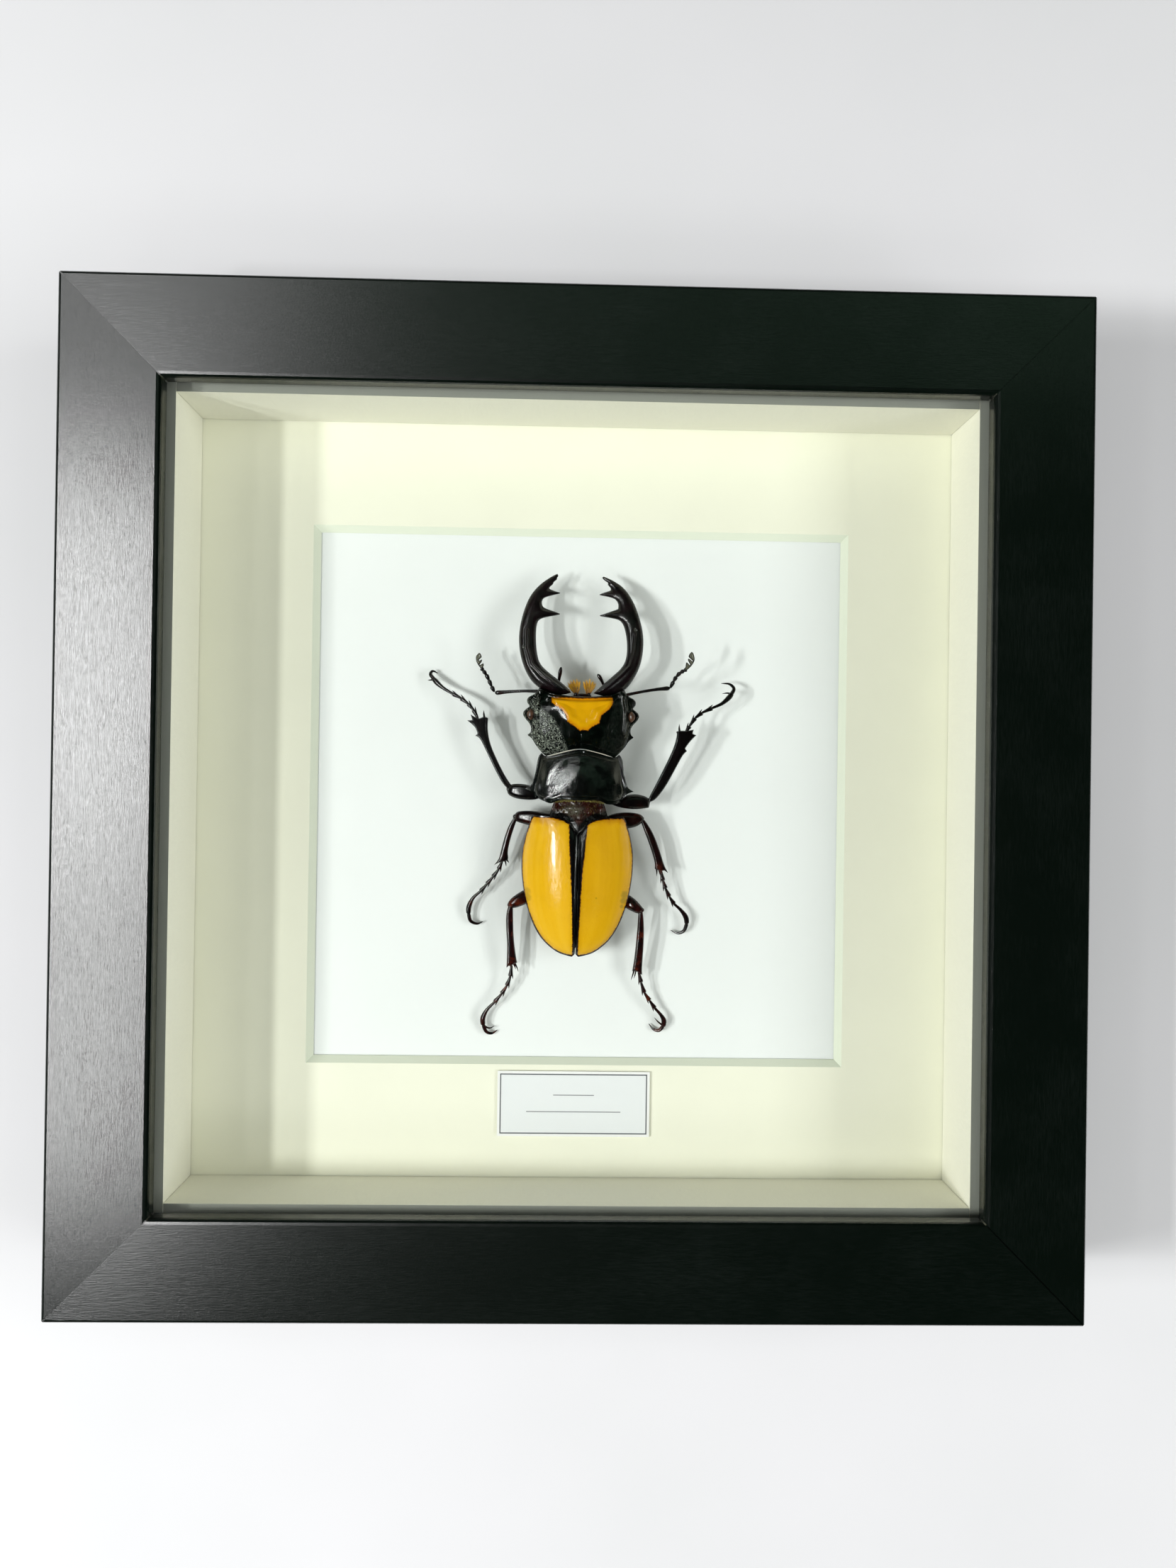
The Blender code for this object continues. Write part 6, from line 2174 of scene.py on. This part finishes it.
@dataclass
class Fringe:
    """The yellow fringe below the shield's rear edge, the down on the waist and pale cords in the neck that
    stand for a painted highlight.

    Attributes:
        fringe_hairs: Hairs in the fringe.
        down_hairs: Hairs on the waist.
        joint: The path of each pale cord between the head and the shield.
        seed: Start of the random numbers.
    """

    fringe_hairs: int = 520
    down_hairs: int = 60
    joint: tuple[Triples, Triples] = (
        ((-6.6, 15.9, 8.4), (-5.1, 16.25, 9.0), (-2.6, 16.95, 9.5), (-0.5, 17.35, 9.75)),
        ((1.1, 17.35, 9.75), (3.7, 16.85, 9.5), (5.6, 16.4, 9.1), (6.6, 16.1, 8.7)),
    )
    seed: int = 21

    def fringe(self, random: np.random.Generator) -> Piece:
        """Short hairs that point back from the shield's rear edge."""
        count = self.fringe_hairs
        x = random.uniform(-5.6, 5.6, count)
        y = 6.72 - 0.75 * (x / 7.4) ** 2 + random.uniform(-0.12, 0.2, count)
        z = 7.9 - 0.035 * x**2 + random.uniform(-0.2, 0.2, count)
        roots = np.column_stack([x + AXIS, y, z])
        aside = x * 0.06 + random.normal(0, 0.15, count)
        ways = np.column_stack([aside, -np.ones(count), random.normal(-0.1, 0.15, count)])
        lengths = random.uniform(0.15, 0.42, count)
        bends = random.normal(0, 0.05, (count, 3))
        return Hairs("shield_fringe").build(roots, ways, lengths, 0.03, bends)

    def down(self, random: np.random.Generator) -> Piece:
        """Fine down in two thin patches on the waist."""
        count = self.down_hairs
        left = count // 2
        x = np.concatenate([random.normal(-2.6, 1.0, left), random.normal(2.8, 0.8, count - left)])
        y = random.uniform(3.9, 5.9, count)
        z = 6.4 + 2.0 * (1 - np.minimum(np.abs(x) / 5.6, 1) ** 2.2) ** 0.6
        roots = np.column_stack([x + AXIS, y, z])
        aside, back = random.normal(0, 0.5, count), -random.uniform(0.3, 1, count)
        ways = np.column_stack([aside, back, random.uniform(0.1, 0.5, count)])
        lengths = random.uniform(0.25, 0.6, count)
        bends = random.normal(0, 0.12, (count, 3))
        return Hairs("waist_down").build(roots, ways, lengths, 0.018, bends)

    def rim_highlight_cords(self) -> Piece:
        """Thin cream cords between the head and the shield, a painted highlight of the shield's front rim."""
        cords = [Limb(path, (0.03, 0.07, 0.08, 0.03), None, 10, 0.25, (0.1, 0.1)) for path in self.joint]
        return smooth(join("neck_highlight_cords", [cord.build("rim_highlight_cord") for cord in cords]))

    def build(self) -> None:
        """Fringe, down and the pale cords."""
        random = np.random.default_rng(self.seed)
        golden = GoldenHair("fringe_hair", (0.10, 0.07, 0.015), (0.42, 0.38, 0.08)).build()
        # The cream cords stand for the bright line along the shield's front rim: a painted highlight
        pale = GoldenHair("rim_highlight_cream", (0.62, 0.55, 0.45), (0.80, 0.76, 0.66)).build()
        for piece in (self.fringe(random), self.down(random)):
            hand_over(piece, golden, "golden_hair")
        hand_over(self.rim_highlight_cords(), pale, "golden_hair")


# Floor, light and camera


@dataclass(frozen=True)
class Panel:
    """A soft light panel that lies flat above the floor.

    Attributes:
        name: Its name.
        across: From where to where it reaches, as x over height.
        along: The same for y over height.
        radiance: How bright it is.
        height: How high it hangs, in metres.
        diffuse: Whether matt surfaces take light from it.
        glossy: Whether it shows in reflections.
        colour: Its tint.
    """

    name: str
    across: Pair
    along: Pair
    radiance: float
    height: float = 0.7
    diffuse: bool = True
    glossy: bool = True
    colour: Colour = (1.0, 1.0, 1.0)

    def hang(self) -> None:
        """Adds the lamp."""
        let_go()
        wide, deep = ((b - a) * self.height for a, b in (self.across, self.along))
        middle = [sum(pair) / 2 * self.height for pair in (self.across, self.along)]
        bpy.ops.object.light_add(type="AREA", location=(*middle, self.height))
        lamp = bpy.context.object
        lamp.name = self.name
        lamp.data.shape = "RECTANGLE"
        lamp.data.size, lamp.data.size_y = wide, deep
        lamp.data.energy = math.pi * self.radiance * wide * deep
        lamp.data.color = self.colour
        lamp.visible_diffuse = self.diffuse
        lamp.visible_glossy = self.glossy


@dataclass
class Studio:
    """The pale floor, the soft light and the camera.

    Attributes:
        camera_place: In millimetres from the middle of the frame's back.
        camera_turn: Three rows; the columns point right, up and back.
        lens: Focal length in millimetres.
        sensor: The sensor's width in millimetres.
        nearest: How near the camera sees, in metres.
        panels: The light panels.
        floor_size: The floor's width in metres.
        floor_light: The floor's lighter colour.
        floor_dark: Its darker clouds.
        sky: The tint of the glow from all round.
        sky_strength: How bright that glow is.
    """

    camera_place: Triple = (-2.90, 2.643, 256.98)
    camera_turn: Triples = (
        (0.9996, -0.0147, -0.0234), (0.0146, 0.9999, -0.0050), (0.0234, 0.0046, 0.9997),
    )
    lens: float = 26.04
    sensor: float = 36.0
    nearest: float = 0.001
    panels: tuple[Panel, ...] = (
        Panel("high_pane", (-0.70, -0.62), (-0.42, -0.22), 22.0, glossy=False),
        Panel("middle_pane", (-0.95, -0.87), (-0.38, -0.12), 185.0, glossy=False),
        Panel("low_pane", (-1.33, -1.20), (-0.28, 0.04), 170.0, glossy=False),
        Panel("room_light", (0.45, 1.0), (-0.9, 0.5), 1.4, glossy=False),
        Panel("low_room_light", (1.1, 1.8), (-0.9, 0.5), 10.0, glossy=False),
        Panel("near_light", (-0.45, 0.45), (-1.3, -0.6), 1.6, glossy=False),
        Panel("ceiling", (-0.4, 0.4), (-0.4, 0.4), 0.5, glossy=False),
        Panel("upper_sheen", (-0.62, -0.475), (-0.08, 0.37), 66.0, diffuse=False),
        Panel("lower_sheen", (-0.62, -0.475), (-0.47, -0.08), 46.0, diffuse=False),
        Panel("corner_glow", (-0.80, -0.33), (0.48, 0.85), 6.0, diffuse=False),
        Panel("right_wall_glow", (0.475, 0.72), (-0.8, 0.8), 0.75, diffuse=False, colour=(0.6, 1.0, 0.7)),
        Panel("far_wall_glow", (-0.33, 0.475), (0.48, 0.72), 0.45, diffuse=False, colour=(0.6, 1.0, 0.7)),
    )
    floor_size: float = 3.0
    floor_light: Colour = (0.63, 0.63, 0.64)
    floor_dark: Colour = (0.60, 0.605, 0.61)
    sky: Colour = (0.93, 1.0, 0.94)
    sky_strength: float = 0.08

    def floor(self) -> None:
        """A plain pale floor with a faint unevenness."""
        let_go()
        bpy.ops.mesh.primitive_plane_add(size=self.floor_size, location=(0, 0, 0))
        plane = named("floor")
        r = Recipe("pale_floor")
        cloud = r.noise(0.012, 3.0)
        fibre = r.noise(1.5, 4.0)
        colour = r.blend(r.span(cloud, 0.3, 0.7), self.floor_light, self.floor_dark)
        plane.data.materials.append(r.shade(colour, 0.8, r.bump(fibre, 0.03, 0.3), Specular_IOR_Level=0.2))
        plane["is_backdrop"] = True

    def light(self) -> None:
        """The panels and an even glow from all round."""
        for panel in self.panels:
            panel.hang()
        world = bpy.data.worlds.new("even_glow")
        world.use_nodes = True
        glow = world.node_tree.nodes["Background"]
        glow.inputs["Color"].default_value = (*self.sky, 1.0)
        glow.inputs["Strength"].default_value = self.sky_strength
        world.cycles_visibility.glossy = False
        bpy.context.scene.world = world

    def camera(self) -> None:
        """The camera above the frame, looking almost straight down."""
        let_go()
        bpy.ops.object.camera_add()
        camera = bpy.context.object
        camera.name = "camera"
        turn = Matrix(self.camera_turn).to_4x4()
        camera.matrix_world = Matrix.Translation(Vector(self.camera_place) * MM) @ turn
        camera.data.lens = self.lens
        camera.data.sensor_width = self.sensor
        camera.data.clip_start = self.nearest
        bpy.context.scene.camera = camera
        bpy.context.scene.view_settings.view_transform = "Standard"


def main() -> None:
    """Dresses the frame, models the insect, and sets the studio."""
    logging.basicConfig(level=logging.INFO, format="%(name)s %(message)s")
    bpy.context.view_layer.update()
    BoxFrame().dress()
    shells = Head(), Pronotum(), Waist(), WingCases(), Abdomen()
    limbs = Jaws(), Legs(), Antennae(), Mouth(), Fringe()
    for part in (*shells, *limbs):
        part.build()
        log.info("%s done", type(part).__name__)
    studio = Studio()
    studio.floor()
    studio.light()
    studio.camera()
    bpy.context.view_layer.update()


if __name__ == "__main__":
    main()
